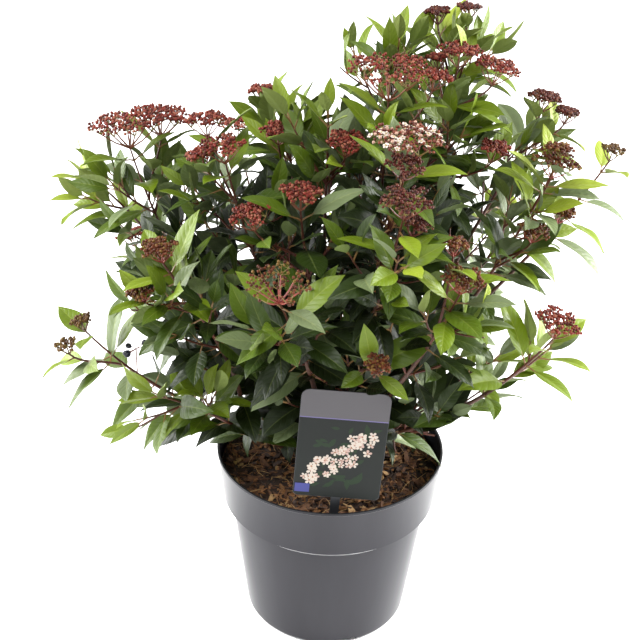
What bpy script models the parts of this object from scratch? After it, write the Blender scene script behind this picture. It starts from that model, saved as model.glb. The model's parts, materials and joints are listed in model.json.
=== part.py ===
"""Potted laurustinus: an evergreen shrub of many stems in a round nursery pot.

Metres, +Z up. The origin is the centre of the pot's flat underside and -Y is the front.
Every bough and every mass of foliage grows from one row of SHOOTS by the same rule.
"""

import math
import random

import bpy
import bmesh
from mathutils import Matrix, Vector
import numpy as np

MM = 0.001
GAP = 0.3 * MM

# Pot: a 23 cm, 5 litre nursery pot with a stepped collar
POT_HEIGHT = 197 * MM
RIM_RADIUS = 116.5 * MM
COLLAR_FOOT_RADIUS = 110.3 * MM
COLLAR_FOOT_HEIGHT = 142 * MM
BODY_TOP_RADIUS = 102 * MM
BODY_TOP_HEIGHT = 134 * MM
FOOT_RADIUS = 85.5 * MM
FOOT_ROUNDING = 4 * MM
POT_WALL = 1.6 * MM
POT_FLOOR = 2.4 * MM
LIP_DEPTH = 3 * MM
LIP_WALL = 2.4 * MM
LIP_BEVEL = 0.6 * MM
LIP_ROUNDING = 0.7 * MM
POT_SIDES = 32
NOTCH_WIDTH = 24 * MM
NOTCH_HEIGHT = 4.7 * MM
NOTCH_REACH_IN = 9 * MM
NOTCH_AZIMUTHS = (-75, 45, 165)

# Bark and coir substrate, and the short foot of the shrub in it
SOIL_TOP = 178 * MM
SOIL_CROWN = 3 * MM
SOIL_PLAY = 0.2 * MM
FLAT_SOIL_SHARE = 0.7
FOOT_STEM_RADII = (
    (15 * MM, 0.0),
    (12.5 * MM, 7 * MM),
    (11 * MM, 22 * MM),
    (9.5 * MM, 40 * MM),
    (6 * MM, 47 * MM),
)
FOOT_STEM_SIDES = 20
FOOT_STEM_POINT = 2 * MM

# Care card on a stake
CARD_WIDTH = 83 * MM
CARD_HEIGHT = 121 * MM
CARD_THICKNESS = 1.2 * MM
CARD_CORNER = 8 * MM
CARD_FOOT_CORNER = 3 * MM
CARD_CORNER_STEPS = 3
CARD_FOOT_HEIGHT = 206 * MM
CARD_PLACE = (5.5 * MM, -101 * MM)
CARD_LEAN = math.radians(3.5)
STAKE_WIDTH = 9 * MM
STAKE_TIP_WIDTH = 4 * MM
STAKE_DEPTH = 62 * MM
STAKE_TAPER_FROM = 0.85

# Limbs
MAIN_BOUGH_RADIUS = 3.4 * MM
SIDE_BOUGH_RADIUS = 2.5 * MM
BOUGH_TIP_RADIUS = 1.7 * MM
BOUGH_SIDES = 5
BOUGH_STEPS = 5
LEAST_BOUGH_SHARE = 0.42
PATH_PULL = 0.36
FORK_PULL = 0.45
LOWEST_TIP = 290 * MM
HIGHEST_TIP = 590 * MM
LOWEST_ROOT = 7 * MM
HIGHEST_ROOT = 41 * MM

# Foliage
MASS_CENTRE = 0.84
STEM_RADIUS = 1.95 * MM
TWIG_TIP_RADIUS = 1.1 * MM
TWIG_SIDES = 3
STEM_STEPS = 3
SIDE_SHOOT_STEPS = 2
SIDE_SHOOTS_PER_MASS = 4
SIDE_SHOOT_LENGTH = 62 * MM
SIDE_SHOOT_RADIUS = 1.4 * MM
SIDE_HEAD_CHANCE = 0.35
SIDE_HEAD_SHARES = (0.55, 0.8)
SIDE_SHOOT_OUT = 0.62
SIDE_SHOOT_ALONG = 0.78
SIDE_SHOOT_RISE = 0.35
SIDE_SHOOT_LENGTHS = (0.85, 1.15)
SHOOT_ROOT_ROOM = 9 * MM
HEAD_OVER_TIP = 0.10
LEAF_OVER_TIP = 0.55
LEAF_OVER_SHOOT = 0.6
LEAF_LENGTH = 65 * MM
LEAF_WIDTH_SHARE = 0.52
LEAF_THICKNESS = 0.9 * MM
LEAF_WIDEST = 0.45
LEAF_SINK = 0.45 * MM
LEAF_ROOT_ROOM = 13 * MM
LEAF_TRIES = 7
LEAF_RIDGE = 0.03
LEAF_EDGE_LIFT = 0.045
LEAF_TIP_DROP = 0.10
LEAF_LEAST_SLOPE = -0.3
LEAF_TO_LIGHT = 0.6
LEAF_WANDER = 0.16
LEAF_FOLD_BACK = 0.06
LEAF_SHRINK = 0.05
LEAF_SIZES = (0.9, 1.12)
NODE_TURN = 0.2
NODE_SPREAD = 0.12
SHRINKS = (1.0, 0.85, 0.7, 0.55)
CELL_MARGIN = 0.4 * MM
CELL_EDGE = 0.3 * MM
LIMB_MARGIN = 3.2 * MM
STEM_CELL_MARGIN = 2.5 * MM
SHOOT_CELL_MARGIN = 3 * MM
OVER_RIM = 4 * MM
BESIDE_RIM = 6 * MM
CROWN_FOOT = 190 * MM
FOOT_RISE_IN_FRONT = 0.6
FOOT_RISE_RIGHT = 0.35
CARD_SIDE_ROOM = 12 * MM
CARD_FRONT_ROOM = 5 * MM
NEAR_MARGIN = 3.4 * MM
RAYS_PER_HEAD = 5
HEAD_RISE_SHARE = 0.36
HEAD_LEAST_RISE = 5 * MM
HEAD_SINK = 1.5 * MM
HEAD_LIMB_MARGIN = 6 * MM
RAY_REACHES = (0.88, 1.0)
RAY_RISES = (0.86, 0.94)
FLUTE_REACH = 0.55
FLUTE_RISE = 0.74
WELD = 0.004 * MM
GROWTH_TRIES = 12

# Nodes counted back from a twig's tip: distance, leaf size beside LEAF_LENGTH, angle in radians
STEM_NODES_BELOW_FLOWER = ((30 * MM, 0.92, 1.10), (58 * MM, 1.05, 1.25), (88 * MM, 1.1, 1.35))
STEM_NODES_BELOW_LEAVES = (
    (3 * MM, 0.60, 0.45),
    (24 * MM, 0.86, 0.95),
    (54 * MM, 1.05, 1.25),
    (86 * MM, 1.1, 1.35),
)
SHOOT_NODES_BELOW_FLOWER = ((26 * MM, 0.9, 1.05),)
SHOOT_NODES_BELOW_LEAVES = ((3 * MM, 0.60, 0.45), (26 * MM, 0.90, 1.0))
SEED = 41

# One row a shoot: its name, the shoot it forks from and how far along that one, how many degrees
# below the straight way to its tip it sets out, the azimuth, reach and height of its tip, the
# tip's lean from upright, and its flower head's width in mm, 0 where it ends in leaves.
# Azimuth 0 is +X and -90 is the front.
FOOT = None
SHOOTS = (
    ("left_crest", FOOT, 0.0, 9, 180, 190, 517, 14, 74),
    ("left_far", FOOT, 0.0, 9, -167, 239, 356, 36, 22),
    ("left_low", FOOT, 0.0, 9, -149, 188, 314, 60, 0),
    ("front_middle", FOOT, 0.0, -12, -104, 192, 464, 40, 58),
    ("front_low", FOOT, 0.0, -26, -78, 165, 385, 68, 26),
    ("right_middle", FOOT, 0.0, 4, -58, 188, 462, 26, 42),
    ("right_under", FOOT, 0.0, 9, -31, 170, 356, 48, 0),
    ("right_upper", FOOT, 0.0, 9, -12, 190, 515, 22, 48),
    ("back_right", FOOT, 0.0, 9, 32, 225, 420, 35, 46),
    ("back_low", FOOT, 0.0, 9, 88, 200, 335, 55, 0),
    ("back_middle", FOOT, 0.0, 9, 70, 175, 505, 20, 52),
    ("back_left", FOOT, 0.0, 9, 122, 195, 462, 26, 50),
    ("back_left_low", FOOT, 0.0, 9, 156, 225, 372, 42, 34),
    ("centre_crest", FOOT, 0.0, 9, -40, 52, 580, 2, 86),
    ("left_spray", "left_crest", 0.34, 0, 172, 228, 466, 50, 0),
    ("left_middle", "left_far", 0.30, 0, -140, 192, 465, 30, 36),
    ("left_inner", "left_crest", 0.22, 0, -148, 116, 530, 14, 46),
    ("back_left_top", "back_left", 0.26, 0, 132, 74, 528, 8, 0),
    ("front_upper", "front_middle", 0.24, 0, -108, 106, 506, 14, 42),
    ("middle_crest", "centre_crest", 0.22, 0, -110, 34, 565, 6, 0),
    ("front_crest", "right_middle", 0.22, 0, -62, 114, 552, 16, 64),
    ("front_right", "right_middle", 0.36, 0, -72, 162, 525, 22, 48),
    ("top", "centre_crest", 0.32, 0, 44, 70, 604, 6, 0),
    ("top_right", "right_upper", 0.22, 0, 2, 101, 599, 10, 42),
    ("right_crest", "right_upper", 0.34, 0, 14, 192, 545, 22, 36),
    ("right_far", "back_right", 0.28, 0, 6, 252, 506, 30, 26),
    ("right_low", "right_under", 0.32, 0, -36, 230, 408, 30, 48),
    ("summit", "top_right", 0.30, 0, 30, 118, 601, 4, 0),
)


def clear_scene():
    for item in list(bpy.data.objects):
        bpy.data.objects.remove(item, do_unlink=True)


def make_material(name, colour, roughness, metallic=0.0):
    material = bpy.data.materials.new(name)
    material.use_nodes = True
    shader = material.node_tree.nodes["Principled BSDF"]
    shader.inputs["Base Color"].default_value = (*colour, 1.0)
    shader.inputs["Roughness"].default_value = roughness
    shader.inputs["Metallic"].default_value = metallic
    material.diffuse_color = (*colour, 1.0)
    return material


def make_object(name, vertices, faces, material=None):
    mesh = bpy.data.meshes.new(name)
    mesh.from_pydata([tuple(v) for v in vertices], [], faces)
    if material:
        mesh.materials.append(material)
    item = bpy.data.objects.new(name, mesh)
    bpy.context.scene.collection.objects.link(item)
    return item


def subtract(item, cutter):
    """Leave a Boolean cut on the object; the cutter stays as a hidden guide."""
    cutter.hide_render = True
    cutter.display_type = "WIRE"
    cut = item.modifiers.new("cut_" + cutter.name, "BOOLEAN")
    cut.operation = "DIFFERENCE"
    cut.object = cutter


def turned_solid(name, profile, sides, material):
    """A solid of revolution from (radius, height) points whose two ends lie on the axis."""
    vertices = []
    rings = []
    for radius, height in profile:
        if radius == 0:
            rings.append([len(vertices)] * sides)
            vertices.append((0.0, 0.0, height))
            continue
        rings.append(list(range(len(vertices), len(vertices) + sides)))
        for k in range(sides):
            angle = 2 * math.pi * k / sides
            vertices.append((radius * math.cos(angle), radius * math.sin(angle), height))
    faces = []
    for lower, upper in zip(rings, rings[1:]):
        for k in range(sides):
            corners = (lower[k], lower[(k + 1) % sides], upper[(k + 1) % sides], upper[k])
            faces.append(tuple(dict.fromkeys(corners)))
    item = make_object(name, vertices, faces, material)
    item.data.shade_smooth()
    item.data.set_sharp_from_angle(angle=math.radians(35))
    return item


def box_cutter(name, low, high, matrix):
    bpy.ops.mesh.primitive_cube_add(size=1)
    cutter = bpy.context.object
    cutter.name = name
    size = [b - a for a, b in zip(low, high)]
    centre = [(a + b) / 2 for a, b in zip(low, high)]
    cutter.data.transform(matrix @ Matrix.Translation(centre) @ Matrix.Diagonal((*size, 1)))
    return cutter


# Pot

def inner_radius(height):
    """Radius of the pot's inner wall at a height."""
    heights = (0.0, BODY_TOP_HEIGHT, COLLAR_FOOT_HEIGHT, POT_HEIGHT)
    radii = (FOOT_RADIUS, BODY_TOP_RADIUS, COLLAR_FOOT_RADIUS, RIM_RADIUS)
    return float(np.interp(height, heights, radii)) - POT_WALL


def make_pot():
    corner = [
        (FOOT_RADIUS - FOOT_ROUNDING * (1 - math.sin(a)), FOOT_ROUNDING * (1 - math.cos(a)))
        for a in (0.0, math.radians(35), math.radians(65), math.radians(90))
    ]
    outside = [
        *corner,
        (BODY_TOP_RADIUS, BODY_TOP_HEIGHT),
        (COLLAR_FOOT_RADIUS, COLLAR_FOOT_HEIGHT),
        (RIM_RADIUS - LIP_BEVEL, POT_HEIGHT - LIP_DEPTH),
        (RIM_RADIUS, POT_HEIGHT - LIP_DEPTH + LIP_BEVEL),
        (RIM_RADIUS, POT_HEIGHT - LIP_BEVEL),
        (RIM_RADIUS - LIP_ROUNDING, POT_HEIGHT),
    ]
    inside = [
        (RIM_RADIUS - LIP_WALL, POT_HEIGHT),
        (inner_radius(POT_HEIGHT - LIP_DEPTH), POT_HEIGHT - LIP_DEPTH),
        (inner_radius(COLLAR_FOOT_HEIGHT), COLLAR_FOOT_HEIGHT),
        (inner_radius(BODY_TOP_HEIGHT), BODY_TOP_HEIGHT),
        (inner_radius(FOOT_ROUNDING), FOOT_ROUNDING + 0.5 * MM),
        (inner_radius(FOOT_ROUNDING) - FOOT_ROUNDING, POT_FLOOR),
    ]
    profile = [(0, 0), *outside, *inside, (0, POT_FLOOR)]
    plastic = make_material("pot_plastic", (0.13, 0.13, 0.14), 0.45)
    pot = turned_solid("pot", profile, POT_SIDES, plastic)
    for number, azimuth in enumerate(NOTCH_AZIMUTHS, 1):
        turn = Matrix.Rotation(math.radians(azimuth), 4, "Z")
        low = (FOOT_RADIUS - NOTCH_REACH_IN, -NOTCH_WIDTH / 2, -NOTCH_HEIGHT)
        high = (FOOT_RADIUS + NOTCH_REACH_IN, NOTCH_WIDTH / 2, NOTCH_HEIGHT)
        subtract(pot, box_cutter(f"notch_{number}", low, high, turn))


def card_matrix():
    """Card frame: its origin is the middle of the card's lower edge and +Z runs up the card."""
    place = Matrix.Translation((*CARD_PLACE, CARD_FOOT_HEIGHT))
    return place @ Matrix.Rotation(CARD_LEAN, 4, "Y")


def make_soil():
    """The root ball and its substrate, which fill the pot to just below the rim."""
    clear = GAP / math.cos(math.pi / POT_SIDES) + SOIL_PLAY
    profile = [
        (0, POT_FLOOR + GAP),
        (inner_radius(FOOT_ROUNDING) - FOOT_ROUNDING - clear, POT_FLOOR + GAP),
        (inner_radius(FOOT_ROUNDING) - clear, FOOT_ROUNDING + 0.8 * MM),
        (inner_radius(BODY_TOP_HEIGHT) - clear, BODY_TOP_HEIGHT),
        (inner_radius(COLLAR_FOOT_HEIGHT) - clear, COLLAR_FOOT_HEIGHT + GAP),
        (inner_radius(SOIL_TOP - SOIL_CROWN) - clear, SOIL_TOP - SOIL_CROWN),
        (FLAT_SOIL_SHARE * inner_radius(SOIL_TOP), SOIL_TOP),
        (0, SOIL_TOP),
    ]
    soil = turned_solid("soil", profile, POT_SIDES, make_material("substrate", (0.11, 0.06, 0.035), 0.95))
    half = STAKE_WIDTH / 2 + GAP
    low = (-half, -CARD_THICKNESS / 2 - GAP, -STAKE_DEPTH - GAP)
    high = (half, CARD_THICKNESS / 2 + GAP, 0)
    subtract(soil, box_cutter("stake_slot", low, high, card_matrix()))


def make_card():
    """A thin plastic card with round upper corners and its stake, in one plate."""
    half = CARD_WIDTH / 2
    outline = [(-STAKE_TIP_WIDTH / 2, -STAKE_DEPTH), (STAKE_TIP_WIDTH / 2, -STAKE_DEPTH)]
    outline += [(STAKE_WIDTH / 2, -STAKE_DEPTH * STAKE_TAPER_FROM), (STAKE_WIDTH / 2, 0.0)]
    outline += [(half - CARD_FOOT_CORNER, 0.0), (half, CARD_FOOT_CORNER)]
    for side, first in ((1, 0.0), (-1, math.pi / 2)):
        for step in range(CARD_CORNER_STEPS + 1):
            angle = first + math.pi / 2 * step / CARD_CORNER_STEPS
            centre = side * (half - CARD_CORNER)
            x = centre + CARD_CORNER * math.cos(angle)
            outline.append((x, CARD_HEIGHT - CARD_CORNER + CARD_CORNER * math.sin(angle)))
    outline += [(-half, CARD_FOOT_CORNER), (-half + CARD_FOOT_CORNER, 0.0), (-STAKE_WIDTH / 2, 0.0)]
    outline += [(-STAKE_WIDTH / 2, -STAKE_DEPTH * STAKE_TAPER_FROM)]
    bm = bmesh.new()
    face = bm.faces.new([bm.verts.new((x, -CARD_THICKNESS / 2, z)) for x, z in outline])
    extruded = bmesh.ops.extrude_face_region(bm, geom=[face])
    moved = [v for v in extruded["geom"] if isinstance(v, bmesh.types.BMVert)]
    bmesh.ops.translate(bm, verts=moved, vec=(0, CARD_THICKNESS, 0))
    bmesh.ops.recalc_face_normals(bm, faces=bm.faces)
    bm.transform(card_matrix())
    mesh = bpy.data.meshes.new("care_card")
    bm.to_mesh(mesh)
    bm.free()
    mesh.materials.append(make_material("card_plastic", (0.30, 0.34, 0.30), 0.35))
    bpy.context.scene.collection.objects.link(bpy.data.objects.new("care_card", mesh))


# Limbs

def direction(azimuth, elevation):
    level = math.cos(elevation)
    return Vector((level * math.cos(azimuth), level * math.sin(azimuth), math.sin(elevation)))


def foot_stem_radius(height):
    radii, heights = zip(*FOOT_STEM_RADII)
    return float(np.interp(height - SOIL_TOP - GAP, heights, radii))


def make_foot_stem(bark):
    """The short woody foot that all the stems leave, cut flat where it stands in the soil."""
    base = SOIL_TOP + GAP
    profile = [(0, base)]
    profile += [(radius, base + height) for radius, height in FOOT_STEM_RADII]
    profile += [(0, base + FOOT_STEM_RADII[-1][1] + FOOT_STEM_POINT)]
    turned_solid("stem_foot", profile, FOOT_STEM_SIDES, bark)


class Shoot:
    """One row of SHOOTS: a curved path from its root to its tip, thick at the root."""

    def __init__(self, number, row, shoots):
        self.name, parent, self.fork, dip, azimuth, reach, height, lean, self.head = row
        self.number = number
        self.parent = shoots.get(parent)
        self.azimuth = math.radians(azimuth)
        self.tip = direction(self.azimuth, 0.0) * (reach * MM) + Vector((0, 0, height * MM))
        self.end_direction = direction(self.azimuth, math.pi / 2 - math.radians(lean))
        self.root_radius = SIDE_BOUGH_RADIUS if self.parent else MAIN_BOUGH_RADIUS
        self.share = LEAST_BOUGH_SHARE
        if self.parent:
            self.root, self.start_direction = self.root_on_parent()
        else:
            self.root, self.start_direction = self.root_on_foot(height, math.radians(dip))
        span = (self.tip - self.root).length * PATH_PULL
        self.controls = (
            self.root,
            self.root + self.start_direction * span,
            self.tip - self.end_direction * span,
            self.tip,
        )

    def root_on_foot(self, height, dip):
        """The higher a stem goes, the higher and the steeper it leaves the foot."""
        share = (height * MM - LOWEST_TIP) / (HIGHEST_TIP - LOWEST_TIP)
        level = SOIL_TOP + LOWEST_ROOT + (HIGHEST_ROOT - LOWEST_ROOT) * share
        chord = self.tip - Vector((0, 0, level))
        rise = math.atan2(chord.z, math.hypot(chord.x, chord.y)) - dip
        start = direction(self.azimuth, rise)
        out = foot_stem_radius(level) + GAP + self.root_radius * math.sin(rise)
        self.inward = -direction(self.azimuth, 0.0)
        return -self.inward * out + Vector((0, 0, level)), start

    def root_on_parent(self):
        centre = self.parent.point(self.fork)
        along = self.parent.tangent(self.fork)
        chord = (self.tip - centre).normalized()
        away = (chord - along * chord.dot(along)).normalized()
        start = (chord + away * FORK_PULL).normalized()
        out = self.parent.radius(self.fork) + GAP + self.root_radius * abs(start.dot(along))
        self.inward = -away
        return centre + away * out, start

    def point(self, t):
        a, b, c, d = self.controls
        s = 1 - t
        return a * s ** 3 + b * (3 * s * s * t) + c * (3 * s * t * t) + d * t ** 3

    def tangent(self, t):
        a, b, c, d = self.controls
        s = 1 - t
        return ((b - a) * (s * s) + (c - b) * (2 * s * t) + (d - c) * (t * t)).normalized()

    def radius(self, t):
        """The limb's radius, which goes on falling evenly past the bough's tip."""
        return self.root_radius + (BOUGH_TIP_RADIUS - self.root_radius) * min(1.0, t / self.share)

    def path(self, start, end, steps):
        return [self.point(start + (end - start) * k / steps) for k in range(steps + 1)]

    def length(self, start=0.0, end=1.0):
        points = self.path(start, end, 24)
        return sum((b - a).length for a, b in zip(points, points[1:]))


def tube(points, radii, sides, facing):
    """Vertices and faces of a closed tube along a path, with its first corners on the facing side."""
    side = facing
    vertices = []
    count = len(points)
    for k, point in enumerate(points):
        ahead = points[min(k + 1, count - 1)] - points[max(k - 1, 0)]
        ahead.normalize()
        side = (side - ahead * side.dot(ahead)).normalized()
        across = ahead.cross(side)
        for j in range(sides):
            angle = 2 * math.pi * j / sides
            vertices.append(point + (side * math.cos(angle) + across * math.sin(angle)) * radii[k])
    faces = [tuple(reversed(range(sides)))]
    for k in range(count - 1):
        for j in range(sides):
            a = k * sides + j
            b = k * sides + (j + 1) % sides
            faces.append((a, b, b + sides, a + sides))
    faces.append(tuple(range((count - 1) * sides, count * sides)))
    return vertices, faces


def make_bough(shoot, bark):
    points = shoot.path(0.0, shoot.share, BOUGH_STEPS)
    radii = [shoot.radius(shoot.share * k / BOUGH_STEPS) for k in range(BOUGH_STEPS + 1)]
    vertices, faces = tube(points, radii, BOUGH_SIDES, shoot.inward)
    bough = make_object("bough_" + shoot.name, vertices, faces, bark)
    bough.data.shade_smooth()
    bough.data.set_sharp_from_angle(angle=math.radians(65))


# Space of each mass

class Space:
    """The room that one mass keeps to: its side of the planes half way to its neighbours."""

    def __init__(self, shoot, shoots, limbs):
        self.limbs = limbs
        self.taken = np.zeros((0, 3))
        centre = np.array(shoot.centre)
        self.normals = []
        self.offsets = []
        for other in shoots:
            if other is shoot:
                continue
            step = np.array(other.centre) - centre
            length = np.linalg.norm(step)
            normal = step / length
            self.normals.append(normal)
            self.offsets.append(normal @ (centre + step / 2) - CELL_MARGIN)
        self.normals = np.array(self.normals)
        self.offsets = np.array(self.offsets)

    def inside(self, points, margin=0.0):
        return bool(np.all(points @ self.normals.T <= self.offsets - margin))

    def clear_of_limbs(self, points, margin):
        starts, ends, radii = self.limbs
        run = ends - starts
        offset = points[:, None, :] - starts[None, :, :]
        share = np.clip((offset * run).sum(2) / (run * run).sum(1), 0, 1)
        distance = np.linalg.norm(offset - share[:, :, None] * run, axis=2)
        return bool(np.all(distance > radii + margin))

    def clear_of_pot(self, points):
        """True above the rim, and clear of the crown's foot, which rises to the front and right."""
        radius = np.hypot(points[:, 0], points[:, 1])
        over_pot = radius < RIM_RADIUS + BESIDE_RIM
        front, right = np.maximum(0, -points[:, 1]), np.maximum(0, points[:, 0])
        foot = CROWN_FOOT + FOOT_RISE_IN_FRONT * front + FOOT_RISE_RIGHT * right
        lowest = np.where(over_pot, POT_HEIGHT + OVER_RIM, foot)
        return bool(np.all(points[:, 2] > lowest))

    def clear_of_card(self, points):
        near_x = np.abs(points[:, 0] - CARD_PLACE[0]) < CARD_WIDTH / 2 + CARD_SIDE_ROOM
        near_y = np.abs(points[:, 1] - CARD_PLACE[1]) < CARD_FRONT_ROOM
        low = points[:, 2] < CARD_FOOT_HEIGHT + CARD_HEIGHT + CARD_FRONT_ROOM
        return not bool(np.any(near_x & near_y & low))

    def holds(self, points, margin=0.0, limb_margin=LIMB_MARGIN):
        points = np.array([tuple(p) for p in points])
        if not self.inside(points, margin):
            return False
        if not self.clear_of_pot(points) or not self.clear_of_card(points):
            return False
        return self.clear_of_limbs(points, limb_margin)

    def take(self, points):
        self.taken = np.vstack([self.taken, [tuple(p) for p in points]])

    def free(self, points, root, room):
        """True where nothing of the mass lies near the points, but for those close to their root."""
        points = np.array([tuple(p) for p in points])
        points = points[np.linalg.norm(points - np.array(root), axis=1) > room]
        distance = np.linalg.norm(points[:, None, :] - self.taken[None, :, :], axis=2)
        return bool(np.all(distance > NEAR_MARGIN))


def settle_spaces(shoots):
    """Give each mass its centre, end each bough where it enters its own mass, list the limbs."""
    for shoot in shoots:
        shoot.centre = shoot.point(MASS_CENTRE)
    no_limbs = (np.zeros((0, 3)), np.zeros((0, 3)), np.zeros(0))
    for shoot in shoots:
        space = Space(shoot, shoots, no_limbs)
        outside = LEAST_BOUGH_SHARE
        for step in range(100):
            t = step / 100
            if not space.inside(np.array([tuple(shoot.point(t))]), STEM_CELL_MARGIN):
                outside = max(outside, t + 0.01)
        shoot.share = outside
    starts, ends, radii = [], [], []
    for shoot in shoots:
        points = shoot.path(0.0, shoot.share, 2 * BOUGH_STEPS)
        for k in range(2 * BOUGH_STEPS):
            starts.append(tuple(points[k]))
            ends.append(tuple(points[k + 1]))
            radii.append(shoot.radius(shoot.share * k / (2 * BOUGH_STEPS)))
    limbs = (np.array(starts), np.array(ends), np.array(radii))
    for shoot in shoots:
        shoot.space = Space(shoot, shoots, limbs)


# Foliage

def leaf_corners(root, along, up, length):
    """The six corners of a leaf: base, tip, two edges, and the top and bottom of the midrib."""
    across = along.cross(up).normalized()
    up = across.cross(along).normalized()
    middle = root + along * (LEAF_WIDEST * length) + up * (LEAF_RIDGE * length)
    half = 0.5 * LEAF_WIDTH_SHARE * length
    base = root - along * LEAF_SINK
    tip = root + along * length - up * (LEAF_TIP_DROP * length)
    edge_lift = up * (LEAF_EDGE_LIFT * length)
    left = middle - across * half + edge_lift
    right = middle + across * half + edge_lift
    top = middle + up * (LEAF_THICKNESS / 2)
    bottom = middle - up * (LEAF_THICKNESS / 2)
    return base, tip, left, right, top, bottom


LEAF_FACES = (
    (0, 4, 2), (0, 3, 4), (1, 2, 4), (1, 4, 3),
    (0, 2, 5), (0, 5, 3), (1, 5, 2), (1, 3, 5),
)


def leaf_samples(corners):
    """Points spread over a leaf's blade, to test it against what is near."""
    base, tip, left, right, top, bottom = corners
    samples = []
    for step in range(17):
        u = step / 16
        for edge in (left, right):
            if u < LEAF_WIDEST:
                middle, rim = base.lerp(top, u / LEAF_WIDEST), base.lerp(edge, u / LEAF_WIDEST)
            else:
                v = (u - LEAF_WIDEST) / (1 - LEAF_WIDEST)
                middle, rim = top.lerp(tip, v), edge.lerp(tip, v)
            samples += [middle.lerp(rim, share) for share in (0, 0.25, 0.5, 0.75, 1)]
    return samples


def place_leaf(space, rng, node, axis, around, spread, length):
    """A leaf that fits its mass's space: it turns, lifts and shrinks a little until it does.

    Its stalk bends so that the blade hardly hangs and its upper side faces the light.
    """
    side = axis.orthogonal().normalized()
    for attempt in range(LEAF_TRIES):
        wander = LEAF_WANDER * attempt
        turn = around + rng.uniform(-wander, wander)
        out = Matrix.Rotation(turn, 3, axis) @ side
        angle = spread - LEAF_FOLD_BACK * attempt + rng.uniform(-wander, wander) / 2
        along = (out * math.sin(angle) + axis * math.cos(angle)).normalized()
        along.z = max(along.z, LEAF_LEAST_SLOPE)
        along.normalize()
        up = axis * math.sin(angle) - out * math.cos(angle) + Vector((0, 0, LEAF_TO_LIGHT))
        corners = leaf_corners(node, along, up, length * (1 - LEAF_SHRINK * attempt))
        samples = leaf_samples(corners)
        if space.holds(samples, CELL_EDGE) and space.free(samples, node, LEAF_ROOT_ROOM):
            space.take(samples)
            return corners
    return None


class Twig:
    """A stem or side shoot: its path, its radius at each end, and what it ends in."""

    def __init__(self, path, radius, head, order):
        self.path = path
        self.radius = radius
        self.head = head
        self.order = order

    def at(self, distance_from_tip):
        """The place and heading at a distance back from the tip, or nothing past the root."""
        left = distance_from_tip
        for b, a in zip(reversed(self.path), reversed(self.path[:-1])):
            step = (b - a).length
            if left <= step:
                return b.lerp(a, left / step), (b - a).normalized()
            left -= step
        return None

    def samples(self):
        pairs = zip(self.path, self.path[1:])
        return [a.lerp(b, share) for a, b in pairs for share in (0.1, 0.25, 0.4, 0.55, 0.7, 0.85, 1.0)]

    def solid(self):
        last = len(self.path) - 1
        radii = [self.radius + (TWIG_TIP_RADIUS - self.radius) * k / last for k in range(last + 1)]
        facing = (self.path[1] - self.path[0]).orthogonal()
        return tube(self.path, radii, TWIG_SIDES, facing)


def node_plan(twig):
    """Each node's distance from the tip, its leaves' size and their angle from the twig."""
    if twig.order == 0:
        return STEM_NODES_BELOW_FLOWER if twig.head else STEM_NODES_BELOW_LEAVES
    return SHOOT_NODES_BELOW_FLOWER if twig.head else SHOOT_NODES_BELOW_LEAVES


def ceiling(shoot):
    """The height that a mass's side shoots stay under, so that its own tip stays its top."""
    return shoot.tip.z + (HEAD_OVER_TIP * shoot.head * MM if shoot.head else LEAF_OVER_TIP * LEAF_LENGTH)


def grow_side_shoots(shoot, rng, stem, turn):
    """Shoots in opposite pairs from the leaf axils of the stem, uppermost pair first."""
    twigs = []
    first = 0 if stem.head else 1
    for order, (distance, _, _) in enumerate(node_plan(stem)):
        place = stem.at(distance)
        if order < first or place is None:
            continue
        node, axis = place
        side = axis.orthogonal().normalized()
        for half in (0, math.pi):
            if len(twigs) == SIDE_SHOOTS_PER_MASS:
                return twigs
            out = Matrix.Rotation(turn + order * math.pi / 2 + half, 3, axis) @ side
            head = shoot.head * rng.uniform(*SIDE_HEAD_SHARES) if rng.random() < SIDE_HEAD_CHANCE else 0
            crown = HEAD_RISE_SHARE * head * MM + HEAD_LEAST_RISE if head else LEAF_OVER_SHOOT * LEAF_LENGTH
            for shrink in SHRINKS:
                heading = (out * SIDE_SHOOT_OUT + axis * SIDE_SHOOT_ALONG).normalized()
                length = SIDE_SHOOT_LENGTH * shrink * rng.uniform(*SIDE_SHOOT_LENGTHS)
                path = [node]
                for _ in range(SIDE_SHOOT_STEPS):
                    heading = (heading + Vector((0, 0, SIDE_SHOOT_RISE / SIDE_SHOOT_STEPS))).normalized()
                    path.append(path[-1] + heading * (length / SIDE_SHOOT_STEPS))
                twig = Twig(path, SIDE_SHOOT_RADIUS, head, 1)
                samples = twig.samples()
                low = path[-1].z + crown < ceiling(shoot)
                fits = low and shoot.space.holds(samples, SHOOT_CELL_MARGIN)
                if fits and shoot.space.free(samples, node, SHOOT_ROOT_ROOM):
                    shoot.space.take(samples)
                    twigs.append(twig)
                    break
    return twigs


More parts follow.
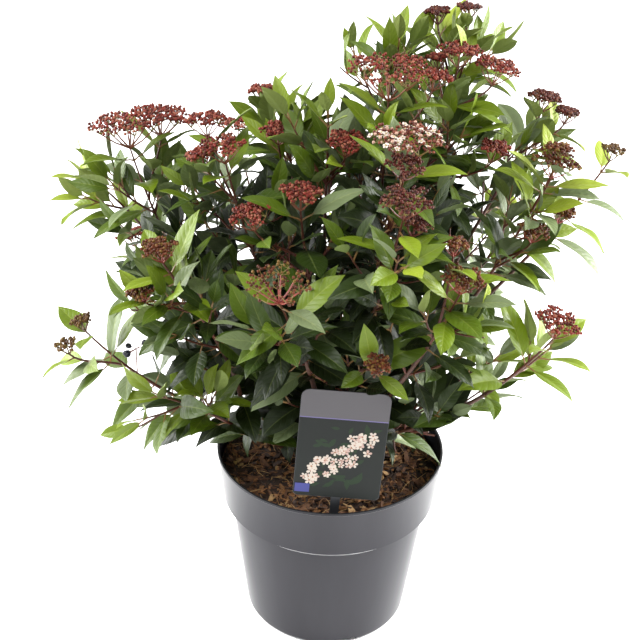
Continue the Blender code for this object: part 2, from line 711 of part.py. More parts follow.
def head_solid(space, rng, twig):
    """A flat flower head: a fluted cup whose ridges are the rays and whose rim is the buds."""
    tip, axis = twig.path[-1], (twig.path[-1] - twig.path[-2]).normalized()
    side = axis.orthogonal().normalized()
    across = axis.cross(side)
    turn = rng.uniform(0, math.pi)
    for shrink in SHRINKS:
        width = twig.head * MM * shrink
        rise = HEAD_RISE_SHARE * width + HEAD_LEAST_RISE
        rim = []
        for k in range(2 * RAYS_PER_HEAD):
            angle = turn + math.pi * k / RAYS_PER_HEAD
            reach = 0.5 * width * (rng.uniform(*RAY_REACHES) if k % 2 == 0 else FLUTE_REACH)
            level = rise * (rng.uniform(*RAY_RISES) if k % 2 == 0 else FLUTE_RISE)
            rim.append(tip + axis * level + (side * math.cos(angle) + across * math.sin(angle)) * reach)
        crown = tip + axis * rise
        samples = [tip.lerp(point, share) for point in (*rim, crown) for share in (0.35, 0.55, 0.75, 1.0)]
        samples += [crown.lerp(point, 0.5) for point in rim]
        if space.holds(samples, CELL_EDGE, HEAD_LIMB_MARGIN):
            space.take(samples)
            count = len(rim)
            faces = [(0, 2 + (k + 1) % count, 2 + k) for k in range(count)]
            faces += [(1, 2 + k, 2 + (k + 1) % count) for k in range(count)]
            return [tip - axis * HEAD_SINK, crown, *rim], faces
    return None


def twig_leaves(space, rng, twig, turn):
    """Opposite pairs of leaves at a twig's nodes, each pair a quarter turn from the last."""
    solids = []
    for order, (distance, size, spread) in enumerate(node_plan(twig)):
        place = twig.at(distance)
        if place is None:
            break
        for half in (0, math.pi):
            around = turn + order * math.pi / 2 + half + rng.uniform(-NODE_TURN, NODE_TURN)
            length = LEAF_LENGTH * size * rng.uniform(*LEAF_SIZES)
            angle = spread + rng.uniform(-NODE_SPREAD, NODE_SPREAD)
            leaf = place_leaf(space, rng, *place, around, angle, length)
            if leaf:
                solids.append((leaf, LEAF_FACES))
    return solids


def grow_mass(shoot, attempt):
    """The stem of a mass and every solid that is fused to it."""
    rng = random.Random(SEED + shoot.number + 100 * attempt)
    shoot.space.taken = np.zeros((0, 3))
    path = shoot.path(shoot.share + GAP / shoot.length(), 1.0, STEM_STEPS)
    stem = Twig(path, STEM_RADIUS, shoot.head, 0)
    shoot.space.take(stem.samples())
    turn = rng.uniform(0, math.pi)
    side_twigs = grow_side_shoots(shoot, rng, stem, turn)
    solids = [twig.solid() for twig in side_twigs]
    for twig in (stem, *side_twigs):
        head = head_solid(shoot.space, rng, twig) if twig.head else None
        if head:
            solids.append(head)
    solids += twig_leaves(shoot.space, rng, stem, turn)
    for twig in side_twigs:
        solids += twig_leaves(shoot.space, rng, twig, rng.uniform(0, math.pi))
    return stem.solid(), solids


def cleaned(mesh):
    """Keep the largest connected body of a joined mesh, free of slivers; True if it is closed."""
    bm = bmesh.new()
    bm.from_mesh(mesh)
    bmesh.ops.remove_doubles(bm, verts=bm.verts, dist=WELD)
    bmesh.ops.dissolve_degenerate(bm, edges=bm.edges, dist=WELD)
    left = set(bm.faces)
    bodies = []
    while left:
        stack = [left.pop()]
        body = {stack[0]}
        while stack:
            for edge in stack.pop().edges:
                for face in edge.link_faces:
                    if face not in body:
                        body.add(face)
                        left.discard(face)
                        stack.append(face)
        bodies.append(body)
    kept = max(bodies, key=len)
    bmesh.ops.delete(bm, geom=[f for f in bm.faces if f not in kept], context="FACES")
    closed = all(e.is_manifold for e in bm.edges) and all(v.is_manifold for v in bm.verts)
    bm.to_mesh(mesh)
    bm.free()
    return closed


def fuse(base, solids, solver):
    """Join every solid to the base object with one Boolean union on a collection."""
    group = bpy.data.collections.new("to_fuse")
    bpy.context.scene.collection.children.link(group)
    for vertices, faces in solids:
        item = make_object("piece", vertices, faces)
        bpy.context.scene.collection.objects.unlink(item)
        group.objects.link(item)
    union = base.modifiers.new("fuse", "BOOLEAN")
    union.operation = "UNION"
    union.operand_type = "COLLECTION"
    union.collection = group
    union.solver = solver
    depsgraph = bpy.context.evaluated_depsgraph_get()
    mesh = bpy.data.meshes.new_from_object(base.evaluated_get(depsgraph))
    base.modifiers.clear()
    for item in list(group.objects):
        bpy.data.objects.remove(item, do_unlink=True)
    bpy.data.collections.remove(group)
    return mesh


def make_mass(shoot, green):
    """A mass's stem, side shoots, flower heads and leaves in one closed body.

    A union that leaves an open edge or a pinched point is grown again from the next seed.
    """
    mass = make_object("foliage_" + shoot.name, [], [], green)
    for attempt in range(GROWTH_TRIES):
        (vertices, faces), solids = grow_mass(shoot, attempt)
        stem = bpy.data.meshes.new("stem")
        stem.from_pydata([tuple(v) for v in vertices], [], faces)
        mass.data = stem
        mesh = fuse(mass, solids, "EXACT")
        if cleaned(mesh):
            break
    mesh.name = mass.name
    mesh.materials.clear()
    mesh.materials.append(green)
    mass.data = mesh


def main():
    clear_scene()
    bark = make_material("bark", (0.16, 0.05, 0.035), 0.75)
    green = make_material("leaf", (0.16, 0.30, 0.07), 0.5)
    make_pot()
    make_soil()
    make_card()
    make_foot_stem(bark)
    shoots = {}
    for number, row in enumerate(SHOOTS):
        shoots[row[0]] = Shoot(number, row, shoots)
    everyone = list(shoots.values())
    settle_spaces(everyone)
    for shoot in everyone:
        make_bough(shoot, bark)
        make_mass(shoot, green)


main()
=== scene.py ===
"""Looks of the potted laurustinus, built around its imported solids.

The shoots of SHOOTS and the rule that they grow by are the solids' own, carried on to finer
twigs, leaves and flower heads. Metres, +Z up, -Y is the front.
"""

import itertools
import math
import random

import bpy
import bmesh
import numpy as np
from mathutils import Matrix, Vector, noise
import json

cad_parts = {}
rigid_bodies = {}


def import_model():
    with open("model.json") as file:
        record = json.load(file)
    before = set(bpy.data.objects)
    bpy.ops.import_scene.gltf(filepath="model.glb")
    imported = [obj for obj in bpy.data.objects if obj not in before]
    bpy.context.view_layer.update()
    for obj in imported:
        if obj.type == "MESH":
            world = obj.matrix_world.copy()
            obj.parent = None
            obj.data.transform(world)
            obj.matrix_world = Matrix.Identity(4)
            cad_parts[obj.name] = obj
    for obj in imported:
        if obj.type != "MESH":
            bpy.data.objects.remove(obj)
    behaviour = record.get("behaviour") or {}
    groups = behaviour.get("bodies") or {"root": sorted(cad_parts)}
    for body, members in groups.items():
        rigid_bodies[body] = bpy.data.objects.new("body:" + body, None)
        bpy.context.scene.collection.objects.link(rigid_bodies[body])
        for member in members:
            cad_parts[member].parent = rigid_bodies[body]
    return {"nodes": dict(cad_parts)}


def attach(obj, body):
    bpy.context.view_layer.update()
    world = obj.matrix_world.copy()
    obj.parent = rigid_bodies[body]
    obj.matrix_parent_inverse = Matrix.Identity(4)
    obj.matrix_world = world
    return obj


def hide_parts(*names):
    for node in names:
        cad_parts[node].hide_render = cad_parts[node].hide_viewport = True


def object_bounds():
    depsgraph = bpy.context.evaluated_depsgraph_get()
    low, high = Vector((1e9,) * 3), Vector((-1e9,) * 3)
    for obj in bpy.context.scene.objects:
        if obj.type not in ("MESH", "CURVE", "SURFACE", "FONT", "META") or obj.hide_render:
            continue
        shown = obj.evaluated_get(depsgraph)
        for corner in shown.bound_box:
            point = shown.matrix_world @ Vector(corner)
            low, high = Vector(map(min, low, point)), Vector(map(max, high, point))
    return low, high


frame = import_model()
CAD_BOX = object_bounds()

MM = 0.001
SEED = 7
UP = Vector((0, 0, 1))

# Pot and what stands in it, as in the solids
POT_HEIGHT = 197 * MM
RIM_RADIUS = 116.5 * MM
COLLAR_FOOT_RADIUS = 110.3 * MM
COLLAR_FOOT_HEIGHT = 142 * MM
BODY_TOP_RADIUS = 102 * MM
BODY_TOP_HEIGHT = 134 * MM
FOOT_RADIUS = 85.5 * MM
FOOT_ROUNDING = 4 * MM
POT_WALL = 1.6 * MM
POT_FLOOR = 2.4 * MM
LIP_DEPTH = 3 * MM
LIP_WALL = 2.4 * MM
NOTCH_WIDTH = 24 * MM
NOTCH_HEIGHT = 4.7 * MM
NOTCH_REACH_IN = 9 * MM
NOTCH_AZIMUTHS = (-75, 45, 165)
SOIL_TOP = 178 * MM
GAP = 0.3 * MM
CARD_WIDTH = 83 * MM
CARD_HEIGHT = 121 * MM
CARD_THICKNESS = 1.2 * MM
CARD_CORNER = 8 * MM
CARD_FOOT_HEIGHT = 206 * MM
CARD_PLACE = (5.5 * MM, -101 * MM)
CARD_LEAN = math.radians(3.5)

# Limbs, as in the solids
FOOT_STEM_RADII = (
    (15 * MM, 0.0),
    (12.5 * MM, 7 * MM),
    (11 * MM, 22 * MM),
    (9.5 * MM, 40 * MM),
    (6 * MM, 47 * MM),
)
MAIN_BOUGH_RADIUS = 3.4 * MM
SIDE_BOUGH_RADIUS = 2.5 * MM
BOUGH_TIP_RADIUS = 1.7 * MM
LEAST_BOUGH_SHARE = 0.42
PATH_PULL = 0.36
FORK_PULL = 0.45
LOWEST_TIP = 290 * MM
HIGHEST_TIP = 590 * MM
LOWEST_ROOT = 7 * MM
HIGHEST_ROOT = 41 * MM
MASS_CENTRE = 0.84
CELL_MARGIN = 0.4 * MM
STEM_CELL_MARGIN = 2.5 * MM

# Foliage
TWIG_TIP_RADIUS = 0.85 * MM
TWIG_SIDES = 6
SPRAY_REACH = 66 * MM
NARROW_REACH = 56 * MM
LEAF_LENGTH = 57 * MM
LEAF_WIDTH_SHARE = 0.40
LEAF_THICKNESS = 0.45 * MM
LEAF_RELIEF = 0.009
LEAF_LEAST_SLOPE = -0.3
LEAF_TO_LIGHT = 0.75
PETIOLE_LENGTH = 8 * MM
HEAD_RISE_SHARE = 0.34
HEAD_LEAST_RISE = 5 * MM
HEAD_DOME = 0.18
LEAF_TRIES = 7
CLEARANCE = 3.0 * MM
OPEN_SOIL_FROM = -14 * MM
CROWN_FOOT = 190 * MM
FOOT_RISE_IN_FRONT = 0.6
FOOT_RISE_RIGHT = 0.35
CELL = 4.0 * MM

# One row a shoot: its name, the shoot it forks from and how far along that one, how many degrees
# below the straight way to its tip it sets out, the azimuth, reach and height of its tip, the
# tip's lean from upright, and its flower head's width in mm, 0 where it ends in leaves.
# Azimuth 0 is +X and -90 is the front.
FOOT = None
SHOOTS = (
    ("left_crest", FOOT, 0.0, 9, 180, 190, 517, 14, 74),
    ("left_far", FOOT, 0.0, 9, -167, 239, 356, 36, 22),
    ("left_low", FOOT, 0.0, 9, -149, 188, 314, 60, 0),
    ("front_middle", FOOT, 0.0, -12, -104, 192, 464, 40, 58),
    ("front_low", FOOT, 0.0, -26, -78, 165, 385, 68, 26),
    ("right_middle", FOOT, 0.0, 4, -58, 188, 462, 26, 42),
    ("right_under", FOOT, 0.0, 9, -31, 170, 356, 48, 0),
    ("right_upper", FOOT, 0.0, 9, -12, 190, 515, 22, 48),
    ("back_right", FOOT, 0.0, 9, 32, 225, 420, 35, 46),
    ("back_low", FOOT, 0.0, 9, 88, 200, 335, 55, 0),
    ("back_middle", FOOT, 0.0, 9, 70, 175, 505, 20, 52),
    ("back_left", FOOT, 0.0, 9, 122, 195, 462, 26, 50),
    ("back_left_low", FOOT, 0.0, 9, 156, 225, 372, 42, 34),
    ("centre_crest", FOOT, 0.0, 9, -40, 52, 580, 2, 86),
    ("left_spray", "left_crest", 0.34, 0, 172, 228, 466, 50, 0),
    ("left_middle", "left_far", 0.30, 0, -140, 192, 465, 30, 36),
    ("left_inner", "left_crest", 0.22, 0, -148, 116, 530, 14, 46),
    ("back_left_top", "back_left", 0.26, 0, 132, 74, 528, 8, 0),
    ("front_upper", "front_middle", 0.24, 0, -108, 106, 506, 14, 42),
    ("middle_crest", "centre_crest", 0.22, 0, -110, 34, 565, 6, 0),
    ("front_crest", "right_middle", 0.22, 0, -62, 114, 552, 16, 64),
    ("front_right", "right_middle", 0.36, 0, -72, 162, 525, 22, 48),
    ("top", "centre_crest", 0.32, 0, 44, 70, 604, 6, 0),
    ("top_right", "right_upper", 0.22, 0, 2, 101, 599, 10, 42),
    ("right_crest", "right_upper", 0.34, 0, 14, 192, 545, 22, 36),
    ("right_far", "back_right", 0.28, 0, 6, 252, 506, 30, 26),
    ("right_low", "right_under", 0.32, 0, -36, 230, 408, 30, 48),
    ("summit", "top_right", 0.30, 0, 30, 118, 601, 4, 0),
)
OPEN_HEAD = "front_crest"
SPENT_HEADS = ("front_middle", "back_right", "right_far", "left_far")
# Fruit on side stems: the shoot, how far below its tip they fork off, and where they hang from
# that tip, all in mm
BERRY_CLUSTERS = (
    ("left_far", 70, (46, 6, -22)),
    ("left_low", 64, (28, 30, -4)),
    ("back_left_low", 70, (40, -14, -30)),
)
# Heads on side stems: the shoot, how far below its tip the stem forks off, where the head's hub
# stands from that tip, and its width, all in mm
SIDE_HEADS = (
    ("left_crest", 52, (26, 18, 5), 58),
    ("left_inner", 60, (-19, 36, 10), 42),
    ("left_middle", 58, (-16, -8, -34), 30),
    ("front_upper", 62, (-38, -8, -16), 42),
    ("centre_crest", 56, (38, 12, 6), 34),
    ("top_right", 46, (31, -2, -14), 46),
    ("top_right", 120, (34, -24, -78), 36),
    ("right_crest", 46, (21, -6, -9), 26),
    ("right_middle", 58, (-6, 16, 26), 26),
    ("left_far", 56, (-13, -14, -18), 24),
    ("summit", 34, (-16, 6, 18), 26),
    ("summit", 40, (12, 14, 20), 26),
    ("back_left_top", 44, (-22, 5, 14), 30),
    ("back_left_top", 84, (-6, -55, -4), 36),
    ("right_upper", 34, (3, 0, 16), 28),
    ("right_upper", 74, (9, -10, -38), 26),
    ("right_upper", 96, (-15, -22, -52), 32),
    ("middle_crest", 62, (16, -20, -30), 40),
)
THIN_SHOOTS = ("right_upper", "right_crest", "right_far", "back_right", "left_far", "right_under")
NARROW_SHOOTS = ("top", "right_upper", "right_middle")
# How far below its tip a shoot is leafy, in mm, where its foot is bare; the others are leafy all over
LEAFY_LENGTHS = {
    "right_middle": 146,
    "right_upper": 140,
    "top_right": 136,
    "right_far": 116,
}
# Shoots whose older leaves are darker than the rest: partly their own older green, partly painted shade under the
# foliage above them
OLD_SHADED_SHOOTS = ("front_middle", "front_upper", "front_right", "front_crest", "right_middle", "left_inner")

# How bright the studio is: the part of what the camera sees that is a thing's own colour
BASE_SHARE = 0.6
SURROUND_STRENGTH = 0.78
KEY_STRENGTH = 3.1
LEFT_POWER = 130
RIGHT_POWER = 200

# The crown's middle and reach, and the painted shade that darkens its leaves from its outside in (those at its very
# outside are painted lighter)
CROWN_MIDDLE = (0, 0, 400 * MM)
CROWN_REACH = (270 * MM, 225 * MM, 230 * MM)
INNER_PAINTED_SHADE = 4.4
# Tint steps darker at each older leaf pair: partly older leaves' own darker green, partly painted shade low in the
# spray; more on the shaded old shoots
AGE_AND_SHADE_DARKER = 0.55
OLD_AGE_AND_SHADE_DARKER = 1.15
PAINTED_SHADE_EVEN_AT = 0.84
PALE_SHARE = 0.05
THIN_PALE_SHARE = 0.34
THIN_LIGHTER = 0.5

LEAF_GLOSS = 0.27
BUD_GLOSS = 0.2
POT_GLOSS = 0.2
POT_SHEEN = 0.6
POT_SHEEN_ROUGHNESS = 0.24
PRINT_GLOSS = 0.15

# Where the photograph was taken from
FOCAL_PIXELS = 1245.57
PICTURE_PIXELS = 640
CAMERA_PLACE = (-13.9 * MM, -1055.4 * MM, 945.1 * MM)
CAMERA_PITCH = math.radians(29.69)
CAMERA_ROLL = 0.027
HEAD_COLOURS = {
    "front_middle": "russet",
    "front_low": "russet",
    "right_middle": "russet",
    "right_far": "brown",
    "right_upper": "russet",
    "summit": "plum",
    "front_right": "plum",
    "left_far": "brown",
    "left_middle": "russet",
    "right_crest": "plum",
    "front_crest": "plum",
}


# Materials

def linear(red, green, blue, base_share=BASE_SHARE):
    """The base colour of what looks so, 0 to 255, under the studio's strong light."""
    values = []
    for value in (red, green, blue):
        share = value / 255
        share = share / 12.92 if share <= 0.04045 else ((share + 0.055) / 1.055) ** 2.4
        values.append(base_share * share)
    return tuple(values)


def mixed(a, b, share):
    return tuple(p + (q - p) * share for p, q in zip(a, b))


def new_material(name, colour, roughness, base_share=BASE_SHARE, gloss=0.5):
    material = bpy.data.materials.new(name)
    material.use_nodes = True
    shader = material.node_tree.nodes["Principled BSDF"]
    base = (*linear(*colour, base_share), 1.0)
    shader.inputs["Base Color"].default_value = base
    shader.inputs["Roughness"].default_value = roughness
    shader.inputs["Specular IOR Level"].default_value = gloss
    material.diffuse_color = base
    return material


def add_node(material, kind, **settings):
    node = material.node_tree.nodes.new(kind)
    for name, value in settings.items():
        if hasattr(node, name):
            setattr(node, name, value)
        else:
            node.inputs[name].default_value = value
    return node


def join(material, source, output, target, socket):
    material.node_tree.links.new(source.outputs[output], target.inputs[socket])


def object_noise(material, scale, detail=3.0, stretch=(1, 1, 1), roughness=0.55):
    """Noise in the object's own coordinates; its scale is in bumps a metre."""
    place = add_node(material, "ShaderNodeTexCoord")
    mapping = add_node(material, "ShaderNodeMapping")
    mapping.inputs["Scale"].default_value = stretch
    pattern = add_node(material, "ShaderNodeTexNoise", Scale=scale, Detail=detail, Roughness=roughness)
    join(material, place, "Object", mapping, "Vector")
    join(material, mapping, "Vector", pattern, "Vector")
    return pattern


def ramp(material, source, output, stops):
    """A colour ramp fed by a node; stops are (place, colour) pairs."""
    node = add_node(material, "ShaderNodeValToRGB")
    while len(node.color_ramp.elements) < len(stops):
        node.color_ramp.elements.new(0.5)
    for element, (place, colour) in zip(node.color_ramp.elements, stops):
        element.position = place
        element.color = (*linear(*colour), 1.0)
    join(material, source, output, node, "Fac")
    return node


def bump(material, source, output, distance, strength=1.0):
    shader = material.node_tree.nodes["Principled BSDF"]
    node = add_node(material, "ShaderNodeBump", Strength=strength, Distance=distance)
    join(material, source, output, node, "Height")
    join(material, node, "Normal", shader, "Normal")


def patterned(name, stops, roughness, scale, relief, detail=3.0, stretch=(1, 1, 1), gloss=0.5):
    """A material whose colour and fine relief follow one noise."""
    material = new_material(name, stops[0][1], roughness, gloss=gloss)
    shader = material.node_tree.nodes["Principled BSDF"]
    pattern = object_noise(material, scale, detail, stretch)
    join(material, ramp(material, pattern, "Fac", stops), "Color", shader, "Base Color")
    bump(material, pattern, "Fac", relief)
    return material


# Meshes

class Batch:
    """Gathers many small shapes, each face with its material slot, into one mesh."""

    def __init__(self):
        self.points = []
        self.faces = []
        self.slots = []
        self.count = 0

    def add(self, points, faces, slots):
        points = np.asarray(points, dtype=float)
        self.points.append(points)
        self.faces += [[corner + self.count for corner in face] for face in faces]
        self.slots += slots if isinstance(slots, list) else [slots] * len(faces)
        self.count += len(points)

    def triangles(self):
        return sum(len(face) - 2 for face in self.faces)

    def make(self, name, materials, sharp=60):
        mesh = bpy.data.meshes.new(name)
        mesh.from_pydata(np.vstack(self.points).tolist(), [], self.faces)
        for material in materials:
            mesh.materials.append(material)
        mesh.polygons.foreach_set("material_index", self.slots)
        mesh.shade_smooth()
        mesh.set_sharp_from_angle(angle=math.radians(sharp))
        item = bpy.data.objects.new(name, mesh)
        bpy.context.scene.collection.objects.link(item)
        return item


def tube(points, radii, sides, roundness=None):
    """Points and faces of a closed tube along a path."""
    path = np.array([tuple(p) for p in points])
    ahead = np.gradient(path, axis=0)
    ahead /= np.linalg.norm(ahead, axis=1)[:, None]
    side = np.array(tuple(Vector(ahead[0]).orthogonal().normalized()))
    angles = np.arange(sides) * 2 * math.pi / sides
    rings = []
    for k, centre in enumerate(path):
        side = side - ahead[k] * (side @ ahead[k])
        side /= np.linalg.norm(side)
        across = np.cross(ahead[k], side)
        reach = radii[k] if roundness is None else radii[k] * roundness[k]
        ring = np.outer(np.cos(angles), side) + np.outer(np.sin(angles), across)
        rings.append(centre + ring * (np.reshape(reach, (-1, 1)) if np.ndim(reach) else reach))
    faces = [list(reversed(range(sides)))]
    for k in range(len(path) - 1):
        for j in range(sides):
            a = k * sides + j
            b = k * sides + (j + 1) % sides
            faces.append([a, b, b + sides, a + sides])
    faces.append(list(range((len(path) - 1) * sides, len(path) * sides)))
    return np.vstack(rings), faces


# Shoots

def direction(azimuth, elevation):
    level = math.cos(elevation)
    return Vector((level * math.cos(azimuth), level * math.sin(azimuth), math.sin(elevation)))


def foot_stem_radius(height):
    radii, heights = zip(*FOOT_STEM_RADII)
    return float(np.interp(height - SOIL_TOP - GAP, heights, radii))


class Shoot:
    """One row of SHOOTS: a curved path from its root to its tip, thick at the root."""

    def __init__(self, number, row, shoots):
        self.name, parent, self.fork, dip, azimuth, reach, height, lean, self.head = row
        self.number = number
        self.parent = shoots.get(parent)
        self.azimuth = math.radians(azimuth)
        self.tip = direction(self.azimuth, 0.0) * (reach * MM) + UP * (height * MM)
        self.end_direction = direction(self.azimuth, math.pi / 2 - math.radians(lean))
        self.root_radius = SIDE_BOUGH_RADIUS if self.parent else MAIN_BOUGH_RADIUS
        self.share = LEAST_BOUGH_SHARE
        if self.parent:
            self.root, self.start_direction = self.root_on_parent()
        else:
            self.root, self.start_direction = self.root_on_foot(height, math.radians(dip))
        span = (self.tip - self.root).length * PATH_PULL
        self.controls = (
            self.root,
            self.root + self.start_direction * span,
            self.tip - self.end_direction * span,
            self.tip,
        )

    def root_on_foot(self, height, dip):
        """The higher a stem goes, the higher and the steeper it leaves the foot."""
        share = (height * MM - LOWEST_TIP) / (HIGHEST_TIP - LOWEST_TIP)
        level = SOIL_TOP + LOWEST_ROOT + (HIGHEST_ROOT - LOWEST_ROOT) * share
        chord = self.tip - UP * level
        rise = math.atan2(chord.z, math.hypot(chord.x, chord.y)) - dip
        out = foot_stem_radius(level) + GAP + self.root_radius * math.sin(rise)
        return direction(self.azimuth, 0.0) * out + UP * level, direction(self.azimuth, rise)

    def root_on_parent(self):
        centre = self.parent.point(self.fork)
        along = self.parent.tangent(self.fork)
        chord = (self.tip - centre).normalized()
        away = (chord - along * chord.dot(along)).normalized()
        start = (chord + away * FORK_PULL).normalized()
        out = self.parent.radius(self.fork) + GAP + self.root_radius * abs(start.dot(along))
        return centre + away * out, start

    def point(self, t):
        a, b, c, d = self.controls
        s = 1 - t
        return a * s ** 3 + b * (3 * s * s * t) + c * (3 * s * t * t) + d * t ** 3

    def tangent(self, t):
        a, b, c, d = self.controls
        s = 1 - t
        return ((b - a) * (s * s) + (c - b) * (2 * s * t) + (d - c) * (t * t)).normalized()

    def radius(self, t):
        """The limb's radius, which falls evenly to the bough's tip and then to the twig's."""
        if t < self.share:
            return self.root_radius + (BOUGH_TIP_RADIUS - self.root_radius) * t / self.share
        past = (t - self.share) / (1 - self.share)
        return BOUGH_TIP_RADIUS + (TWIG_TIP_RADIUS - BOUGH_TIP_RADIUS) * past

    def length(self, start=0.0, end=1.0):
        points = [self.point(start + (end - start) * k / 24) for k in range(25)]
        return sum((b - a).length for a, b in zip(points, points[1:]))


def settle_boughs(shoots):
    """End each bough where its path enters its own mass's side of the planes half way between."""
    centres = [shoot.point(MASS_CENTRE) for shoot in shoots]
    for shoot, centre in zip(shoots, centres):
        outside = LEAST_BOUGH_SHARE
        for step in range(100):
            point = shoot.point(step / 100)
            for other in centres:
                if other is centre:
                    continue
                across = (other - centre).normalized()
                room = (centre + other) / 2
                if (point - room).dot(across) > -CELL_MARGIN - STEM_CELL_MARGIN:
                    outside = max(outside, step / 100 + 0.01)
        shoot.share = outside


# Room for leaves and twigs

class Room:
    """Where leaves and twigs may grow, and what already stands there."""

    def __init__(self, low, high):
        self.low = np.array(low)
        self.high = np.array(high)
        self.cells = {}
        self.stem = None
        self.reach = SPRAY_REACH

    def keep_to(self, stem_points, reach):
        """From now on everything stays within this reach of this stem."""
        self.stem = np.array([tuple(p) for p in stem_points])
        self.reach = reach

    def allowed(self, points):
        if np.any(points < self.low) or np.any(points > self.high):
            return False
        gaps = np.linalg.norm(points[::5, None] - self.stem[None], axis=2).min(axis=1)
        if np.any(gaps > self.reach):
            return False
        radius = np.hypot(points[:, 0], points[:, 1])
        over_pot = radius < RIM_RADIUS + 5 * MM
        front, right = np.maximum(0, -points[:, 1]), np.maximum(0, points[:, 0])
        foot = CROWN_FOOT + FOOT_RISE_IN_FRONT * front + FOOT_RISE_RIGHT * right
        lowest = np.where(over_pot, POT_HEIGHT + 1 * MM, foot)
        inside_rim = radius < RIM_RADIUS - 6 * MM
        lowest = np.where(inside_rim, SOIL_TOP + 6 * MM, lowest)
        if np.any(points[:, 2] < lowest):
            return False
        near_x = np.abs(points[:, 0] - CARD_PLACE[0]) < CARD_WIDTH / 2 + 8 * MM
        near_y = np.abs(points[:, 1] - CARD_PLACE[1]) < 3.5 * MM
        low = points[:, 2] < CARD_FOOT_HEIGHT + CARD_HEIGHT + 4 * MM
        return not np.any((near_x & near_y & low) | self.covers_card(points) | self.covers_soil(points))

    def covers_card(self, points):
        """True for points that hide the card from whoever took the photograph."""
        eye = np.array(CAMERA_PLACE)
        share = (CARD_PLACE[1] - eye[1]) / (points[:, 1] - eye[1])
        spot = eye + (points - eye) * share[:, None]
        level = np.abs(spot[:, 0] - CARD_PLACE[0] - CARD_LEAN * (spot[:, 2] - CARD_FOOT_HEIGHT))
        within = (level < CARD_WIDTH / 2 + 1 * MM) & (spot[:, 2] < CARD_FOOT_HEIGHT + CARD_HEIGHT - 4 * MM)
        return within & (share > 1)

    def covers_soil(self, points):
        """True for points that hide the front of the pot's mouth from whoever took the photograph."""
        eye = np.array(CAMERA_PLACE)
        share = (SOIL_TOP - eye[2]) / (points[:, 2] - eye[2])
        spot = eye + (points - eye) * share[:, None]
        inside = np.hypot(spot[:, 0], spot[:, 1]) < RIM_RADIUS
        return inside & (spot[:, 1] < OPEN_SOIL_FROM) & (points[:, 1] < 0)

    def key(self, point):
        return tuple(int(math.floor(v / CELL)) for v in point)

    def free(self, points, root, room):
        """True where nothing stands near the points, but for those close to their own root."""
        far = np.linalg.norm(points - root, axis=1) > room
        for point in points[far]:
            i, j, k = self.key(point)
            for a in (i - 1, i, i + 1):
                for b in (j - 1, j, j + 1):
                    for c in (k - 1, k, k + 1):
                        for other in self.cells.get((a, b, c), ()):
                            gap = point - other
                            if gap @ gap < CLEARANCE * CLEARANCE:
                                return False
        return True

    def take(self, points):
        for point in points:
            self.cells.setdefault(self.key(point), []).append(point)


# Leaves

ROWS = 13
COLUMNS = (-1.0, -0.64, -0.3, -0.05, 0.05, 0.3, 0.64, 1.0)
OUTLINE = (
    (0.0, 0.05), (0.05, 0.25), (0.14, 0.59), (0.27, 0.89), (0.42, 1.0), (0.57, 0.93),
    (0.71, 0.73), (0.83, 0.45), (0.92, 0.20), (1.0, 0.015),
)


def leaf_grid():
    """Shares along and across the blade for each grid point, and its relief between side veins."""
    along, across, relief = [], [], []
    for row in range(ROWS):
        u = row / (ROWS - 1)
        for v in COLUMNS:
            along.append(min(1.0, u + 0.11 * abs(v) * math.sin(math.pi * u)))
            across.append(v)
            swell = math.sin(math.pi * abs(v)) * math.sin(math.pi * min(1.0, u * 1.05))
            relief.append(swell if row % 2 == 0 else -swell)
    return np.array(along), np.array(across), np.array(relief)


GRID_U, GRID_V, GRID_RELIEF = leaf_grid()


def leaf_faces():
    """Faces of a closed blade: the upper grid, then the lower one on the same rim."""
    width = len(COLUMNS)
    upper_count = ROWS * width
    lower = {}
    for row in range(ROWS):
        for column in range(width):
            rim = row in (0, ROWS - 1) or column in (0, width - 1)
            index = row * width + column
            lower[index] = index if rim else upper_count + (row - 1) * (width - 2) + column - 1
    faces, kinds = [], []
    for row in range(ROWS - 1):
        for column in range(width - 1):
            a = row * width + column
            b, c, d = a + 1, a + 1 + width, a + width
            halves = ((a, b, c), (a, c, d)) if column < (width - 1) / 2 else ((a, b, d), (b, c, d))
            for corners in halves:
                faces.append(list(corners))
                kinds.append(1 if column == (width - 2) // 2 else 0)
                faces.append([lower[corner] for corner in reversed(corners)])
                kinds.append(2)
    return faces, kinds


LEAF_FACES, LEAF_KINDS = leaf_faces()
INNER = [row * len(COLUMNS) + column for row in range(1, ROWS - 1) for column in range(1, len(COLUMNS) - 1)]
BLADE_PLACES = np.column_stack([GRID_U, np.abs(GRID_V), 0 * GRID_U])[list(range(ROWS * len(COLUMNS))) + INNER]
SAMPLE_POINTS = [row * len(COLUMNS) + column for row in range(1, ROWS, 2) for column in (0, 2, 5, 7)]


